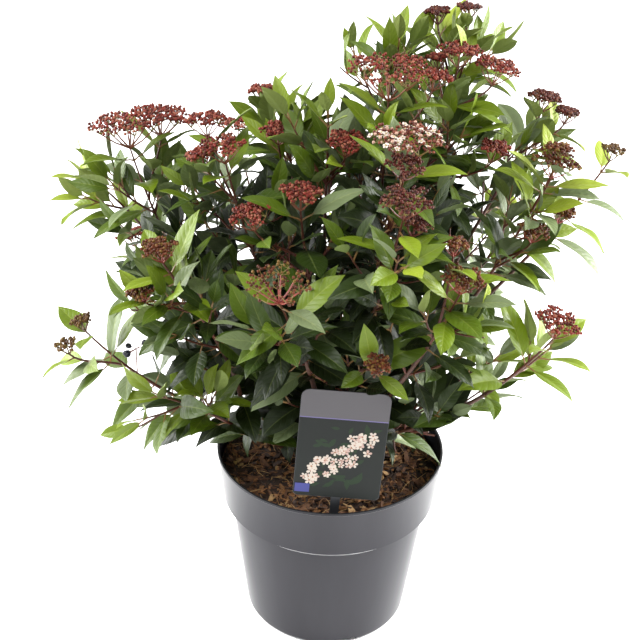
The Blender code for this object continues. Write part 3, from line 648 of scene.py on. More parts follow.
class Blade:
    """The shape of one leaf before it is set in place."""

    def __init__(self, rng, length, droop):
        self.length = length
        self.width = length * LEAF_WIDTH_SHARE * rng.uniform(0.88, 1.14)
        self.curl = droop + rng.uniform(-0.12, 0.32)
        self.tip_curl = rng.uniform(0.0, 0.32)
        self.fold = rng.uniform(0.22, 0.56)
        self.twist = rng.uniform(-0.35, 0.35) if rng.random() < 0.8 else rng.uniform(-0.9, 0.9)
        self.bend = rng.uniform(-0.07, 0.07)
        self.wave = rng.uniform(0.0, 0.02)
        self.phase = rng.uniform(0, 2 * math.pi)

    def points(self, root, along, up):
        """The blade's grid in space: upper points, then the inner lower ones."""
        across = np.cross(along, up)
        steps = np.linspace(0, 1, 25)
        pitch = -self.curl * steps ** 1.3 - self.tip_curl * steps ** 4
        ahead_x = np.cumsum(np.cos(pitch)) / 25
        ahead_z = np.cumsum(np.sin(pitch)) / 25
        x = np.interp(GRID_U, steps, ahead_x - ahead_x[0]) * self.length
        z = np.interp(GRID_U, steps, ahead_z - ahead_z[0]) * self.length
        lean = np.interp(GRID_U, steps, pitch)
        half = 0.5 * self.width * np.interp(GRID_U, *zip(*OUTLINE))
        turn = self.twist * GRID_U
        rise = np.abs(GRID_V) * math.sin(self.fold) - 0.22 * GRID_V ** 2
        lift = half * rise + LEAF_RELIEF * self.length * GRID_RELIEF
        lift += self.wave * self.length * GRID_V * np.sin(GRID_U * 9 + self.phase) * np.abs(GRID_V)
        side = half * GRID_V * math.cos(self.fold * 0.7)
        side_turned = side * np.cos(turn) - lift * np.sin(turn) + self.bend * self.length * GRID_U ** 2
        lift_turned = side * np.sin(turn) + lift * np.cos(turn)
        x_final = x - lift_turned * np.sin(lean)
        z_final = z + lift_turned * np.cos(lean)
        upper = root + np.outer(x_final, along) + np.outer(side_turned, across) + np.outer(z_final, up)
        normal = np.outer(-np.sin(lean), along) + np.outer(np.cos(lean), up)
        thickness = np.where(np.abs(GRID_V) < 0.1, 1.8, 1.0)[:, None] * LEAF_THICKNESS
        under = (upper - normal * thickness)[INNER]
        return np.vstack([upper, under])


TINTS = {
    "lime": (160, 178, 52),
    "spring": (138, 160, 38),
    "fresh": (115, 138, 24),
    "green": (92, 116, 20),
    "deep": (68, 90, 18),
    "shade": (47, 65, 16),
    "dusk": (32, 45, 13),
    "sage": (126, 142, 96),
}
TINT_ORDER = tuple(TINTS)[:-1]
BLADE_PLACE = "blade_place"
VEIN_PAIRS = 8
VEIN_SLANT = 0.22
VEIN_DEPTH = 0.35 * MM


def calculate(material, operation, source, output, value):
    """A node that works out one number from another, such as its product with value."""
    node = add_node(material, "ShaderNodeMath", operation=operation)
    join(material, source, output, node, 0)
    node.inputs[1].default_value = value
    return node


def vein_relief(material):
    """Low ridges between fine side veins, which leave the midrib slanting towards the tip."""
    place = add_node(material, "ShaderNodeAttribute", attribute_name=BLADE_PLACE)
    parts = add_node(material, "ShaderNodeSeparateXYZ")
    join(material, place, "Vector", parts, "Vector")
    slant = calculate(material, "MULTIPLY", parts, "Y", -VEIN_SLANT)
    along = add_node(material, "ShaderNodeMath", operation="ADD")
    join(material, parts, "X", along, 0)
    join(material, slant, "Value", along, 1)
    phase = calculate(material, "MULTIPLY", along, "Value", math.pi * VEIN_PAIRS)
    wave = calculate(material, "SINE", phase, "Value", 0.0)
    ridge = calculate(material, "ABSOLUTE", wave, "Value", 0.0)
    return calculate(material, "POWER", ridge, "Value", 0.35)


def leaf_materials():
    """Three plain-coloured materials a tint: upper side, midrib and underside."""
    materials = []
    for name, colour in TINTS.items():
        rib = mixed(colour, (190, 196, 120), 0.30)
        under = mixed(colour, (158, 170, 132), 0.50)
        for part, shade, roughness in (("upper", colour, 0.42), ("rib", rib, 0.48), ("under", under, 0.65)):
            material = new_material(f"leaf_{name}_{part}", shade, roughness, gloss=LEAF_GLOSS)
            bump(material, vein_relief(material), "Value", VEIN_DEPTH, 0.7)
            materials.append(material)
    return materials


class Foliage:
    """Everything that grows: it takes leaves, twigs and flower heads and keeps the room they use."""

    def __init__(self):
        low, high = (np.array(corner) for corner in CAD_BOX)
        self.room = Room(low - 4 * MM, high + 4 * MM)
        self.leaves = Batch()
        self.twigs = Batch()
        self.leaf_count = 0

    def leaf(self, rng, node, axis, around, spread, length, tint, droop, petiole=1.0):
        """Try to set a leaf at a node; it turns, lifts and shrinks a little until it fits."""
        side = axis.orthogonal().normalized()
        for attempt in range(LEAF_TRIES):
            wander = 0.18 * attempt
            turn = around + rng.uniform(-wander, wander)
            angle = spread - 0.05 * attempt + rng.uniform(-wander, wander) / 2
            out = Matrix.Rotation(turn, 3, axis) @ side
            along = (out * math.sin(angle) + axis * math.cos(angle)).normalized()
            along.z = max(along.z, LEAF_LEAST_SLOPE)
            along.normalize()
            up = axis * math.sin(angle) - out * math.cos(angle) + UP * LEAF_TO_LIGHT
            up = (up - along * up.dot(along)).normalized()
            blade = Blade(rng, length * (1 - 0.05 * attempt), droop)
            stalk = PETIOLE_LENGTH * petiole * rng.uniform(0.8, 1.25)
            start = node + along * stalk - UP * (0.1 * stalk)
            points = blade.points(np.array(start), np.array(along), np.array(up))
            samples = points[SAMPLE_POINTS]
            if self.room.allowed(points) and self.room.free(samples, np.array(node), 15 * MM):
                self.room.take(samples)
                order = list(TINTS).index(tint)
                self.leaves.add(points, LEAF_FACES, [3 * order + kind for kind in LEAF_KINDS])
                middle = node.lerp(start, 0.5) + UP * (0.05 * stalk)
                path = [node, middle, start, start + along * (0.12 * length) - up * (0.4 * MM)]
                self.twigs.add(*tube(path, [0.95 * MM, 0.75 * MM, 0.7 * MM, 0.3 * MM], 5), 1)
                self.leaf_count += 1
                return True
        return False


class Twig:
    """A stem or side shoot: its path, its radius at each end, its head's width and its order."""

    def __init__(self, path, radii, head, order, tint):
        self.path = path
        self.radii = radii
        self.head = head
        self.order = order
        self.tint = tint
        self.pale = PALE_SHARE
        self.age_and_shade = AGE_AND_SHADE_DARKER
        self.leafy = math.inf

    def length(self):
        return sum((b - a).length for a, b in zip(self.path, self.path[1:]))

    def at(self, distance_from_tip):
        """The place and heading at a distance back from the tip, or nothing past the root."""
        left = distance_from_tip
        for b, a in zip(reversed(self.path), reversed(self.path[:-1])):
            step = (b - a).length
            if left <= step:
                return b.lerp(a, left / step), (b - a).normalized()
            left -= step
        return None

    def samples(self):
        pairs = zip(self.path, self.path[1:])
        return np.array([tuple(a.lerp(b, share)) for a, b in pairs for share in (0.0, 0.35, 0.7)])


def twig_nodes(rng, twig):
    """Each leafy node's distance from the tip, its leaves' size and their angle from the twig."""
    nodes = []
    if twig.head:
        distance = (4 + 0.10 * twig.head + rng.uniform(0, 8)) * MM
        size, spread = 0.86, 1.05
    else:
        nodes.append((1.5 * MM, rng.uniform(0.58, 0.80), 0.34))
        distance = rng.uniform(7, 12) * MM
        size, spread = 0.80, 0.74
    limit = min(twig.length(), twig.leafy)
    while distance < limit:
        nodes.append((distance, size, spread))
        distance += rng.uniform(20, 34) * MM * (0.75 if twig.order else 1.0)
        size = min(1.08, size + 0.10)
        spread = min(1.45, spread + 0.16)
    return nodes


def side_twig(rng, foliage, node, axis, out, length, head, order, tint, ceiling):
    """A shoot out of a leaf's axil that bends up, or nothing if there is no room for it."""
    for shrink in (1.0, 0.85, 0.7, 0.55, 0.42):
        heading = (out * 0.62 + axis * 0.78).normalized()
        steps = 5
        path = [node]
        for _ in range(steps):
            heading = (heading + UP * (0.30 / steps)).normalized()
            path.append(path[-1] + heading * (length * shrink / steps))
        radii = np.linspace(1.35 * MM if order == 1 else 1.0 * MM, TWIG_TIP_RADIUS * 0.85, steps + 1)
        twig = Twig(path, radii, head, order, tint)
        samples = twig.samples()
        top = path[-1].z + (HEAD_RISE_SHARE * head * MM if head else 0.6 * LEAF_LENGTH)
        if top > ceiling:
            continue
        if foliage.room.allowed(samples) and foliage.room.free(samples, np.array(node), 10 * MM):
            foliage.room.take(samples[1:])
            return twig
    return None


def tint_at(rng, twig, age, node):
    """A leaf's tint: its spray's own, a step darker at each older pair (older leaves' own darker green and painted
    shade low in the spray), with painted shade deep inside the crown.
    """
    out = Vector([(p - q) / reach for p, q, reach in zip(node, CROWN_MIDDLE, CROWN_REACH)]).length
    # Painted shade: the tint steps darker deep inside the crown and lighter at its outside, and darker at each older
    # pair
    step = int(twig.tint + twig.age_and_shade * age + INNER_PAINTED_SHADE * (PAINTED_SHADE_EVEN_AT - out) + rng.uniform(0, 0.9))
    if rng.random() < twig.pale:
        return "sage"
    return TINT_ORDER[min(max(step, 0), len(TINT_ORDER) - 1)]


def dress_twig(rng, foliage, twig, turn):
    """Opposite pairs of leaves at a twig's nodes, each pair a quarter turn from the last."""
    for age, (distance, size, spread) in enumerate(twig_nodes(rng, twig)):
        place = twig.at(distance)
        if place is None:
            break
        for half in (0, math.pi):
            around = turn + age * math.pi / 2 + half + rng.uniform(-0.2, 0.2)
            length = LEAF_LENGTH * size * rng.uniform(0.85, 1.15)
            droop = 0.12 + 0.08 * age
            stalk = 0.5 if size < 0.5 else 1.0
            tint = tint_at(rng, twig, age, place[0])
            foliage.leaf(rng, *place, around, spread, length, tint, droop, stalk)


def grow(shoot, foliage, heads):
    """The twigs, heads and leaves of one shoot, from its tip down its bough."""
    rng = random.Random(SEED + 31 * shoot.number)
    steps = 26
    path = [shoot.point(k / steps) for k in range(steps + 1)]
    radii = [shoot.radius(k / steps) for k in range(steps + 1)]
    foliage.room.keep_to(path, NARROW_REACH if shoot.name in NARROW_SHOOTS else SPRAY_REACH)
    thin = shoot.name in THIN_SHOOTS
    tint = rng.choice((0.6, 1.2, 1.6, 2.2)) if shoot.head else rng.choice((0, 0, 0.8))
    if thin:
        tint -= THIN_LIGHTER
    stem = Twig(path, radii, shoot.head, 0, tint)
    if shoot.name in LEAFY_LENGTHS:
        stem.leafy = LEAFY_LENGTHS[shoot.name] * MM
    ceiling = shoot.tip.z + (0.10 * shoot.head * MM if shoot.head else 0.55 * LEAF_LENGTH)
    turn = rng.uniform(0, math.pi)
    twigs = [stem]
    nodes = twig_nodes(rng, stem)
    first = 0 if stem.head else 1
    for age, (distance, _, _) in enumerate(nodes):
        place = stem.at(distance)
        if age < first or place is None:
            continue
        node, axis = place
        upper = age < first + 2
        if rng.random() > (0.75 if upper else 0.6) * (0.6 if thin else 1.0):
            continue
        if node.z < SOIL_TOP + 60 * MM:
            continue
        side = axis.orthogonal().normalized()
        for half in (0, math.pi):
            out = Matrix.Rotation(turn + age * math.pi / 2 + half, 3, axis) @ side
            head = shoot.head * rng.uniform(0.45, 0.75) if rng.random() < 0.34 and upper else 0
            length = (rng.uniform(34, 62) if upper else rng.uniform(45, 80)) * MM
            # A side twig's tint, darker lower down the stem: partly older leaves' own darker green, partly painted
            # shade
            shade = tint + (0.8 if head else rng.uniform(-1.2, 1.0)) + 0.42 * age
            shade = max(0.0, shade)
            twig = side_twig(rng, foliage, node, axis, out, length, head, 1, shade, ceiling)
            if not twig:
                continue
            twigs.append(twig)
            middle, heading = twig.at(twig.length() * 0.45)
            spread = heading.orthogonal().normalized()
            for other in (0, math.pi):
                if rng.random() < (0.2 if thin else 0.4):
                    away = Matrix.Rotation(rng.uniform(0, math.pi) + other, 3, heading) @ spread
                    reach = rng.uniform(22, 38) * MM
                    fine = side_twig(rng, foliage, middle, heading, away, reach, 0, 2, twig.tint, ceiling)
                    if fine:
                        twigs.append(fine)
    for name, below, offset, width in SIDE_HEADS:
        if name == shoot.name:
            twigs.append(head_stem(stem, below * MM, Vector(offset) * MM, width, tint))
    for name, _, offset in BERRY_CLUSTERS:
        if name == shoot.name:
            hub = np.array(shoot.tip + Vector(offset) * MM)
            foliage.room.take(hub + BERRY_ROOM)
    foliage.room.take(stem.samples())
    for twig in twigs:
        if twig.head:
            heads.append((shoot, twig))
            foliage.room.take(head_samples(twig))
    for twig in twigs:
        twig.pale = THIN_PALE_SHARE if thin else PALE_SHARE
        twig.age_and_shade = OLD_AGE_AND_SHADE_DARKER if shoot.name in OLD_SHADED_SHOOTS else AGE_AND_SHADE_DARKER
        dress_twig(rng, foliage, twig, turn if twig is stem else rng.uniform(0, math.pi))
    for twig in twigs[1:]:
        foliage.twigs.add(*tube(twig.path, twig.radii, TWIG_SIDES), 0)
    return stem


BERRY_ROOM = np.array(list(itertools.product((-8 * MM, 0, 8 * MM), repeat=3)))


def head_stem(stem, below, offset, width, tint):
    """A side stem with a flower head, from its fork on the stem up to its hub."""
    root, axis = stem.at(below)
    tip = stem.path[-1] + offset
    span = (tip - root).length
    lean = (tip - root).normalized()
    knee = root + (axis * 0.3 + lean * 0.7) * (0.4 * span)
    last = tip - (lean * 0.6 + UP * 0.5).normalized() * (0.3 * span)
    path = []
    for k in range(9):
        t = k / 8
        r = 1 - t
        path.append(root * r ** 3 + knee * (3 * r * r * t) + last * (3 * r * t * t) + tip * t ** 3)
    radii = np.linspace(1.35 * MM, 0.9 * MM, len(path))
    return Twig(path, radii, width, 1, tint)


def head_samples(twig):
    """Points over a flower head, which leaves keep clear of."""
    tip, axis = twig.at(0.0)
    axis = head_axis(axis)
    side, across = frame_of(axis)
    width = twig.head * MM
    points = [tip]
    for share, height in ((0.25, 0.45), (0.5, 0.8), (0.85, 0.95), (0.0, 1.0)):
        for k in range(8):
            angle = math.pi * k / 4
            out = side * math.cos(angle) + across * math.sin(angle)
            rise = height * (HEAD_RISE_SHARE * width + HEAD_LEAST_RISE)
            points.append(tip + axis * rise + out * (0.5 * width * share))
    return np.array([tuple(p) for p in points])


# Flower heads

BUD_SIDES = 5
BUD_RINGS = ((0.36, 1.0), (0.78, 0.72))


def bud_shape():
    points = [(0.0, 0.0, 0.0)]
    for height, radius in BUD_RINGS:
        for k in range(BUD_SIDES):
            angle = 2 * math.pi * k / BUD_SIDES
            points.append((radius * math.cos(angle), radius * math.sin(angle), height))
    points.append((0.0, 0.0, 1.0))
    last = len(points) - 1
    faces = []
    for k in range(BUD_SIDES):
        n = (k + 1) % BUD_SIDES
        faces.append([0, 1 + n, 1 + k])
        faces.append([1 + k, 1 + n, 1 + BUD_SIDES + n, 1 + BUD_SIDES + k])
        faces.append([1 + BUD_SIDES + k, 1 + BUD_SIDES + n, last])
    return np.array(points), faces


BUD_POINTS, BUD_FACES = bud_shape()
BUD_COLOURS = {
    "crimson": ((142, 54, 40), (96, 34, 22), (168, 100, 76)),
    "plum": ((98, 39, 28), (68, 26, 17), (126, 77, 54)),
    "russet": ((117, 60, 30), (84, 39, 18), (134, 100, 46)),
    "brown": ((112, 80, 40), (86, 56, 30), (128, 104, 52)),
    "blush": ((142, 76, 54), (106, 46, 32), (220, 178, 156)),
}
STALK_COLOURS = {
    "crimson": (146, 84, 58),
    "plum": (124, 56, 44),
    "russet": (166, 74, 62),
    "brown": (128, 92, 56),
    "blush": (132, 58, 44),
}
RAY_COLOUR = (140, 122, 56)
HEAD_FILL = {"crimson": 1.0, "plum": 0.95, "russet": 0.85, "brown": 0.7, "blush": 1.0}
SPENT_FILL = 0.55
CLUSTER_FILL = 0.86
CLUSTER_DOME = 2.4 * MM
BUD_LENGTH = 3.1 * MM
BUD_RADIUS = 1.42 * MM


def frame_of(axis):
    side = axis.orthogonal().normalized()
    return side, axis.cross(side)


def set_bud(batch, rng, base, axis, scale, slot):
    side, across = frame_of(axis)
    turn = Matrix.Rotation(rng.uniform(0, 6.28), 3, axis)
    side, across = turn @ side, turn @ across
    shape = BUD_POINTS * (BUD_RADIUS * scale, BUD_RADIUS * scale, BUD_LENGTH * scale)
    basis = np.array([tuple(side), tuple(across), tuple(axis)])
    batch.add(np.array(base) + shape @ basis, BUD_FACES, slot)


def head_axis(axis):
    """A head stands more upright than the stem that bears it."""
    return (axis + UP * 1.8).normalized()


def flower_head(rng, blossom, stalks, tip, axis, width, colour, fill, opened=None):
    """A flat compound head: rays from one hub, rays on those, and buds on the last ones."""
    axis = head_axis(axis)
    side, across = frame_of(axis)
    radius = width / 2
    rise = HEAD_RISE_SHARE * width + HEAD_LEAST_RISE
    first_rays = 7 if width > 50 * MM else 5
    second_rays = 6 if width > 60 * MM else 5
    buds = 7 if width > 34 * MM else 6
    bud_slot = 3 * list(BUD_COLOURS).index(colour)
    stalk_slot = list(STALK_COLOURS).index(colour)
    turn = rng.uniform(0, 2 * math.pi)
    hub = tip + axis * (0.06 * rise)
    rays = [(0.0, 0.0)] + [(turn + 2 * math.pi * k / first_rays, 1.0) for k in range(first_rays)]
    for angle, reach in rays:
        out = side * math.cos(angle) + across * math.sin(angle)
        reach *= rng.uniform(0.52, 0.64) * radius
        knee = hub + axis * (rise * rng.uniform(0.50, 0.60)) + out * reach
        bend = hub.lerp(knee, 0.5) + axis * (0.06 * rise) * (-1 if reach else 0) + out * (0.04 * reach)
        thick = 0.9 * MM if width > 50 * MM else 0.7 * MM
        stalks.add(*tube([tip, bend, knee], [thick, 0.85 * thick, 0.7 * thick], 5), stalk_slot)
        spread = 2 * math.pi * rng.random()
        for k in range(second_rays):
            if rng.random() > CLUSTER_FILL:
                continue
            turned = spread + 2 * math.pi * k / second_rays
            far = side * math.cos(turned) + across * math.sin(turned)
            fork = knee + axis * (rise * rng.uniform(0.20, 0.28)) + far * (radius * rng.uniform(0.17, 0.26))
            stalks.add(*tube([knee, fork], [0.55 * MM, 0.42 * MM], 4), len(STALK_COLOURS))
            for j in range(buds):
                swing = 2 * math.pi * (j + rng.uniform(-0.3, 0.3)) / buds
                away = side * math.cos(swing) + across * math.sin(swing)
                near = rng.uniform(0.35, 1.0) if j else 0.0
                end = fork + axis * rng.uniform(1.6, 3.0) * MM + away * (near * 0.075 * width)
                flat = (end - tip).dot(axis)
                wide = ((end - tip) - axis * flat).length / radius
                end += axis * ((0.98 - HEAD_DOME * wide * wide) * rise - flat) * 0.45
                end -= axis * (CLUSTER_DOME * near * near)
                if rng.random() > fill:
                    continue
                stalks.add(*tube([fork, end], [0.3 * MM, 0.25 * MM], 3), len(STALK_COLOURS))
                heading = (axis * 0.8 + away * 0.35 + out * 0.2).normalized()
                if opened is not None and rng.random() < 0.16:
                    open_flower(rng, opened, end, heading)
                else:
                    slot = bud_slot + rng.choice((0, 0, 1, 1, 2))
                    set_bud(blossom, rng, end - heading * 0.3 * MM, heading, rng.uniform(0.8, 1.15), slot)


PETALS = 5


def open_flower(rng, batch, base, axis):
    """A small five-lobed flower on a short tube, with a pale yellow middle."""
    side, across = frame_of(axis)
    turn = rng.uniform(0, 2 * math.pi)
    size = rng.uniform(2.3, 2.9) * MM
    throat = base + axis * (1.8 * MM)
    batch.add(*tube([base, throat], [0.5 * MM, 0.8 * MM], 5), 1)
    for k in range(PETALS):
        angle = turn + 2 * math.pi * k / PETALS
        out = side * math.cos(angle) + across * math.sin(angle)
        cross = axis.cross(out)
        lift = rng.uniform(0.05, 0.3)
        shape = ((0.18, 0.0, 0.0), (0.55, 0.34, 0.08), (0.9, 0.30, 0.0), (1.05, 0.0, -0.06))
        ring = [(x, y, z) for x, y, z in shape] + [(x, -y, z) for x, y, z in reversed(shape[1:3])]
        top = [throat + out * (x * size) + cross * (y * size) + axis * ((z + lift * x) * size) for x, y, z in ring]
        under = [p - axis * (0.25 * MM) for p in top]
        count = len(ring)
        faces = [list(range(count)), [count + j for j in reversed(range(count))]]
        faces += [[j, j + count, (j + 1) % count + count, (j + 1) % count] for j in range(count)]
        batch.add([tuple(p) for p in top + under], faces, 0)
    set_bud(batch, rng, throat - axis * 0.4 * MM, axis, 0.5, 2)


def berry(rng, batch, base, axis):
    """An egg-shaped fruit on a short stalk."""
    side, across = frame_of(axis)
    rings, sides = 7, 10
    points, faces = [tuple(base)], []
    for k in range(1, rings):
        angle = math.pi * k / rings
        centre = base + axis * (3.4 * MM * (1 - math.cos(angle)))
        for j in range(sides):
            turn = 2 * math.pi * j / sides
            spoke = side * math.cos(turn) + across * math.sin(turn)
            points.append(tuple(centre + spoke * (2.8 * MM * math.sin(angle))))
    points.append(tuple(base + axis * (6.8 * MM)))
    last = len(points) - 1
    for j in range(sides):
        n = (j + 1) % sides
        faces.append([0, 1 + n, 1 + j])
        for k in range(rings - 2):
            a = 1 + k * sides
            faces.append([a + j, a + n, a + n + sides, a + j + sides])
        faces.append([last - sides + j, last - sides + n, last])
    batch.add(points, faces, 0)


def berry_cluster(rng, fruit, stalks, stem, below, offset):
    """A few ripe fruits that hang from a fork low on a stem."""
    fork, _ = stem.at(below)
    hub = stem.path[-1] + offset
    stalks.add(*tube([fork, fork.lerp(hub, 0.5) + UP * (2 * MM), hub], [0.8 * MM, 0.7 * MM, 0.6 * MM], 5), 1)
    for k in range(rng.choice((4, 5, 6))):
        angle = rng.uniform(0, 2 * math.pi)
        out = (direction(angle, rng.uniform(-0.6, 0.5)) - UP * 0.25).normalized()
        end = hub + out * rng.uniform(5, 9) * MM
        stalks.add(*tube([hub, end], [0.45 * MM, 0.4 * MM], 4), 1)
        berry(rng, fruit, end, out)


# Bark

def bark_tube(batch, points, radii, sides, seed, lowest_ring=0.0):
    """A limb whose skin has small lengthwise ridges and swellings."""
    count = len(points)
    roundness = []
    for k in range(count):
        ring = []
        for j in range(sides):
            angle = 2 * math.pi * j / sides
            place = Vector((math.cos(angle) * 1.3 + seed, math.sin(angle) * 1.3, k * 0.16 + seed))
            ring.append(1.0 + 0.07 * noise.noise(place * 1.6) + 0.05 * noise.noise(place * 4.1))
        roundness.append(np.array(ring))
    batch.add(*tube(points, radii, sides, roundness), 0)


def make_limbs(shoots, stems):
    """The foot and the boughs, in the solids' places, with bark relief; stems is not used."""
    boughs = Batch()
    for shoot in shoots:
        steps = max(12, int(shoot.length(0, shoot.share) / (3.5 * MM)))
        path = [shoot.point(shoot.share * k / steps) for k in range(steps + 1)]
        path.insert(0, path[0] - shoot.start_direction * (2.6 * MM))
        radii = [shoot.radius(shoot.share * k / steps) for k in range(steps + 1)]
        flare = [1.25, 1.18, 1.08, 1.02]
        radii = [radii[0]] + radii
        radii = [r * (flare[k] if k < len(flare) else 1.0) for k, r in enumerate(radii)]
        bark_tube(boughs, path, radii, 12, shoot.number * 7.3)
    foot = Batch()
    base = SOIL_TOP - 1 * MM
    heights = np.linspace(0, 50, 26) * MM
    radii, levels = zip(*FOOT_STEM_RADII)
    foot_radii = np.interp(heights, levels, radii)
    foot_radii[-1] = 2.5 * MM
    points = [Vector((0, 0, base + h)) for h in heights]
    bark_tube(foot, points, list(foot_radii), 24, 3.3)
    boughs.points += foot.points
    boughs.faces += [[c + boughs.count for c in face] for face in foot.faces]
    boughs.slots += [1] * len(foot.faces)
    boughs.count += foot.count
    return boughs


# Pot

def inner_radius(height):
    heights = (0.0, BODY_TOP_HEIGHT, COLLAR_FOOT_HEIGHT, POT_HEIGHT)
    radii = (FOOT_RADIUS, BODY_TOP_RADIUS, COLLAR_FOOT_RADIUS, RIM_RADIUS)
    return float(np.interp(height, heights, radii)) - POT_WALL


def make_pot(outside, inside):
    """The pot's shell, turned finely, grey without and black within and over its lip."""
    sides = 144
    corner = [
        (FOOT_RADIUS - FOOT_ROUNDING * (1 - math.sin(a)), FOOT_ROUNDING * (1 - math.cos(a)))
        for a in (math.radians(d) for d in (0, 22, 45, 67, 90))
    ]
    body = [
        (FOOT_RADIUS + (BODY_TOP_RADIUS - FOOT_RADIUS) * share, FOOT_ROUNDING + (BODY_TOP_HEIGHT - FOOT_ROUNDING) * share)
        for share in (0.03, 0.25, 0.5, 0.75, 0.985)
    ]
    step = [
        (BODY_TOP_RADIUS, BODY_TOP_HEIGHT),
        (BODY_TOP_RADIUS + 0.5 * MM, BODY_TOP_HEIGHT + 0.4 * MM),
        (COLLAR_FOOT_RADIUS - 0.8 * MM, COLLAR_FOOT_HEIGHT - 0.6 * MM),
        (COLLAR_FOOT_RADIUS, COLLAR_FOOT_HEIGHT),
        (COLLAR_FOOT_RADIUS + 0.1 * MM, COLLAR_FOOT_HEIGHT + 1.2 * MM),
    ]
    lip = [
        (RIM_RADIUS - 0.7 * MM, POT_HEIGHT - LIP_DEPTH - 0.4 * MM),
        (RIM_RADIUS - 0.55 * MM, POT_HEIGHT - LIP_DEPTH),
        (RIM_RADIUS, POT_HEIGHT - LIP_DEPTH + 0.6 * MM),
        (RIM_RADIUS, POT_HEIGHT - 0.9 * MM),
    ]
    over = [
        (RIM_RADIUS - 0.25 * MM, POT_HEIGHT - 0.3 * MM),
        (RIM_RADIUS - 0.8 * MM, POT_HEIGHT),
        (RIM_RADIUS - LIP_WALL + 0.5 * MM, POT_HEIGHT),
        (RIM_RADIUS - LIP_WALL, POT_HEIGHT - 0.5 * MM),
        (inner_radius(POT_HEIGHT - LIP_DEPTH), POT_HEIGHT - LIP_DEPTH),
        (inner_radius(COLLAR_FOOT_HEIGHT), COLLAR_FOOT_HEIGHT),
        (inner_radius(BODY_TOP_HEIGHT), BODY_TOP_HEIGHT),
        (inner_radius(FOOT_ROUNDING), FOOT_ROUNDING + 0.5 * MM),
        (inner_radius(FOOT_ROUNDING) - FOOT_ROUNDING, POT_FLOOR),
    ]
    grey = [(0.0, 0.0), *corner, *body, *step, *lip]
    profile = [*grey, *over, (0.0, POT_FLOOR)]
    points, rings = [], []
    for radius, height in profile:
        if radius == 0:
            rings.append([len(points)] * sides)
            points.append((0.0, 0.0, height))
            continue
        rings.append(list(range(len(points), len(points) + sides)))
        for k in range(sides):
            angle = 2 * math.pi * k / sides
            points.append((radius * math.cos(angle), radius * math.sin(angle), height))
    batch = Batch()
    faces, slots = [], []
    for level, (lower, upper) in enumerate(zip(rings, rings[1:])):
        for k in range(sides):
            n = (k + 1) % sides
            faces.append(list(dict.fromkeys((lower[k], lower[n], upper[n], upper[k]))))
            slots.append(0 if level < len(grey) - 1 else 1)
    batch.add(points, faces, slots)
    pot = batch.make("pot_shell", [outside, inside], 30)
    for number, azimuth in enumerate(NOTCH_AZIMUTHS, 1):
        cutter = notch_cutter(math.radians(azimuth))
        cut = pot.modifiers.new(f"notch_{number}", "BOOLEAN")
        cut.operation = "DIFFERENCE"
        cut.object = cutter
    depsgraph = bpy.context.evaluated_depsgraph_get()
    mesh = bpy.data.meshes.new_from_object(pot.evaluated_get(depsgraph))
    pot.modifiers.clear()
    pot.data = mesh
    for item in [o for o in bpy.data.objects if o.name.startswith("notch_shape")]:
        bpy.data.objects.remove(item, do_unlink=True)
    return pot


def notch_cutter(azimuth):
    """A drainage notch's outline, its upper corners rounded."""
    half = NOTCH_WIDTH / 2
    round_off = 2 * MM
    outline = [(-half, -NOTCH_HEIGHT), (half, -NOTCH_HEIGHT)]
    outline += [
        (half - round_off * (1 - math.cos(a)), NOTCH_HEIGHT - round_off * (1 - math.sin(a)))
        for a in (0, math.pi / 4, math.pi / 2)
    ]
    outline += [
        (-half + round_off * (1 - math.cos(a)), NOTCH_HEIGHT - round_off * (1 - math.sin(a)))
        for a in (math.pi / 2, math.pi / 4, 0)
    ]
    turn = Matrix.Rotation(azimuth, 3, "Z")
    points = [turn @ Vector((FOOT_RADIUS + reach, y, z)) for reach in (-NOTCH_REACH_IN, NOTCH_REACH_IN) for y, z in outline]
    count = len(outline)
    faces = [list(reversed(range(count))), list(range(count, 2 * count))]
    faces += [[k, (k + 1) % count, (k + 1) % count + count, k + count] for k in range(count)]
    mesh = bpy.data.meshes.new("notch_shape")
    mesh.from_pydata(points, [], faces)
    item = bpy.data.objects.new("notch_shape", mesh)
    bpy.context.scene.collection.objects.link(item)
    return item


# Substrate

def chip_shape(rng, length, width, thick):
    """A splinter of bark: a box with its corners pulled about and its ends narrowed."""
    points = []
    for x in (-1, -0.3, 0.4, 1):
        narrow = 0.55 if abs(x) == 1 else 1.0
        for y, z in ((-1, -1), (1, -1), (1, 1), (-1, 1)):
            points.append((
                x * length / 2 + rng.uniform(-0.1, 0.1) * length,
                y * width / 2 * narrow * rng.uniform(0.7, 1.2),
                z * thick / 2 * narrow * rng.uniform(0.6, 1.3),
            ))
    faces = [[3, 2, 1, 0], [12, 13, 14, 15]]
    for k in range(3):
        for j in range(4):
            a, b = 4 * k + j, 4 * k + (j + 1) % 4
            faces.append([a, b, b + 4, a + 4])
    return points, faces


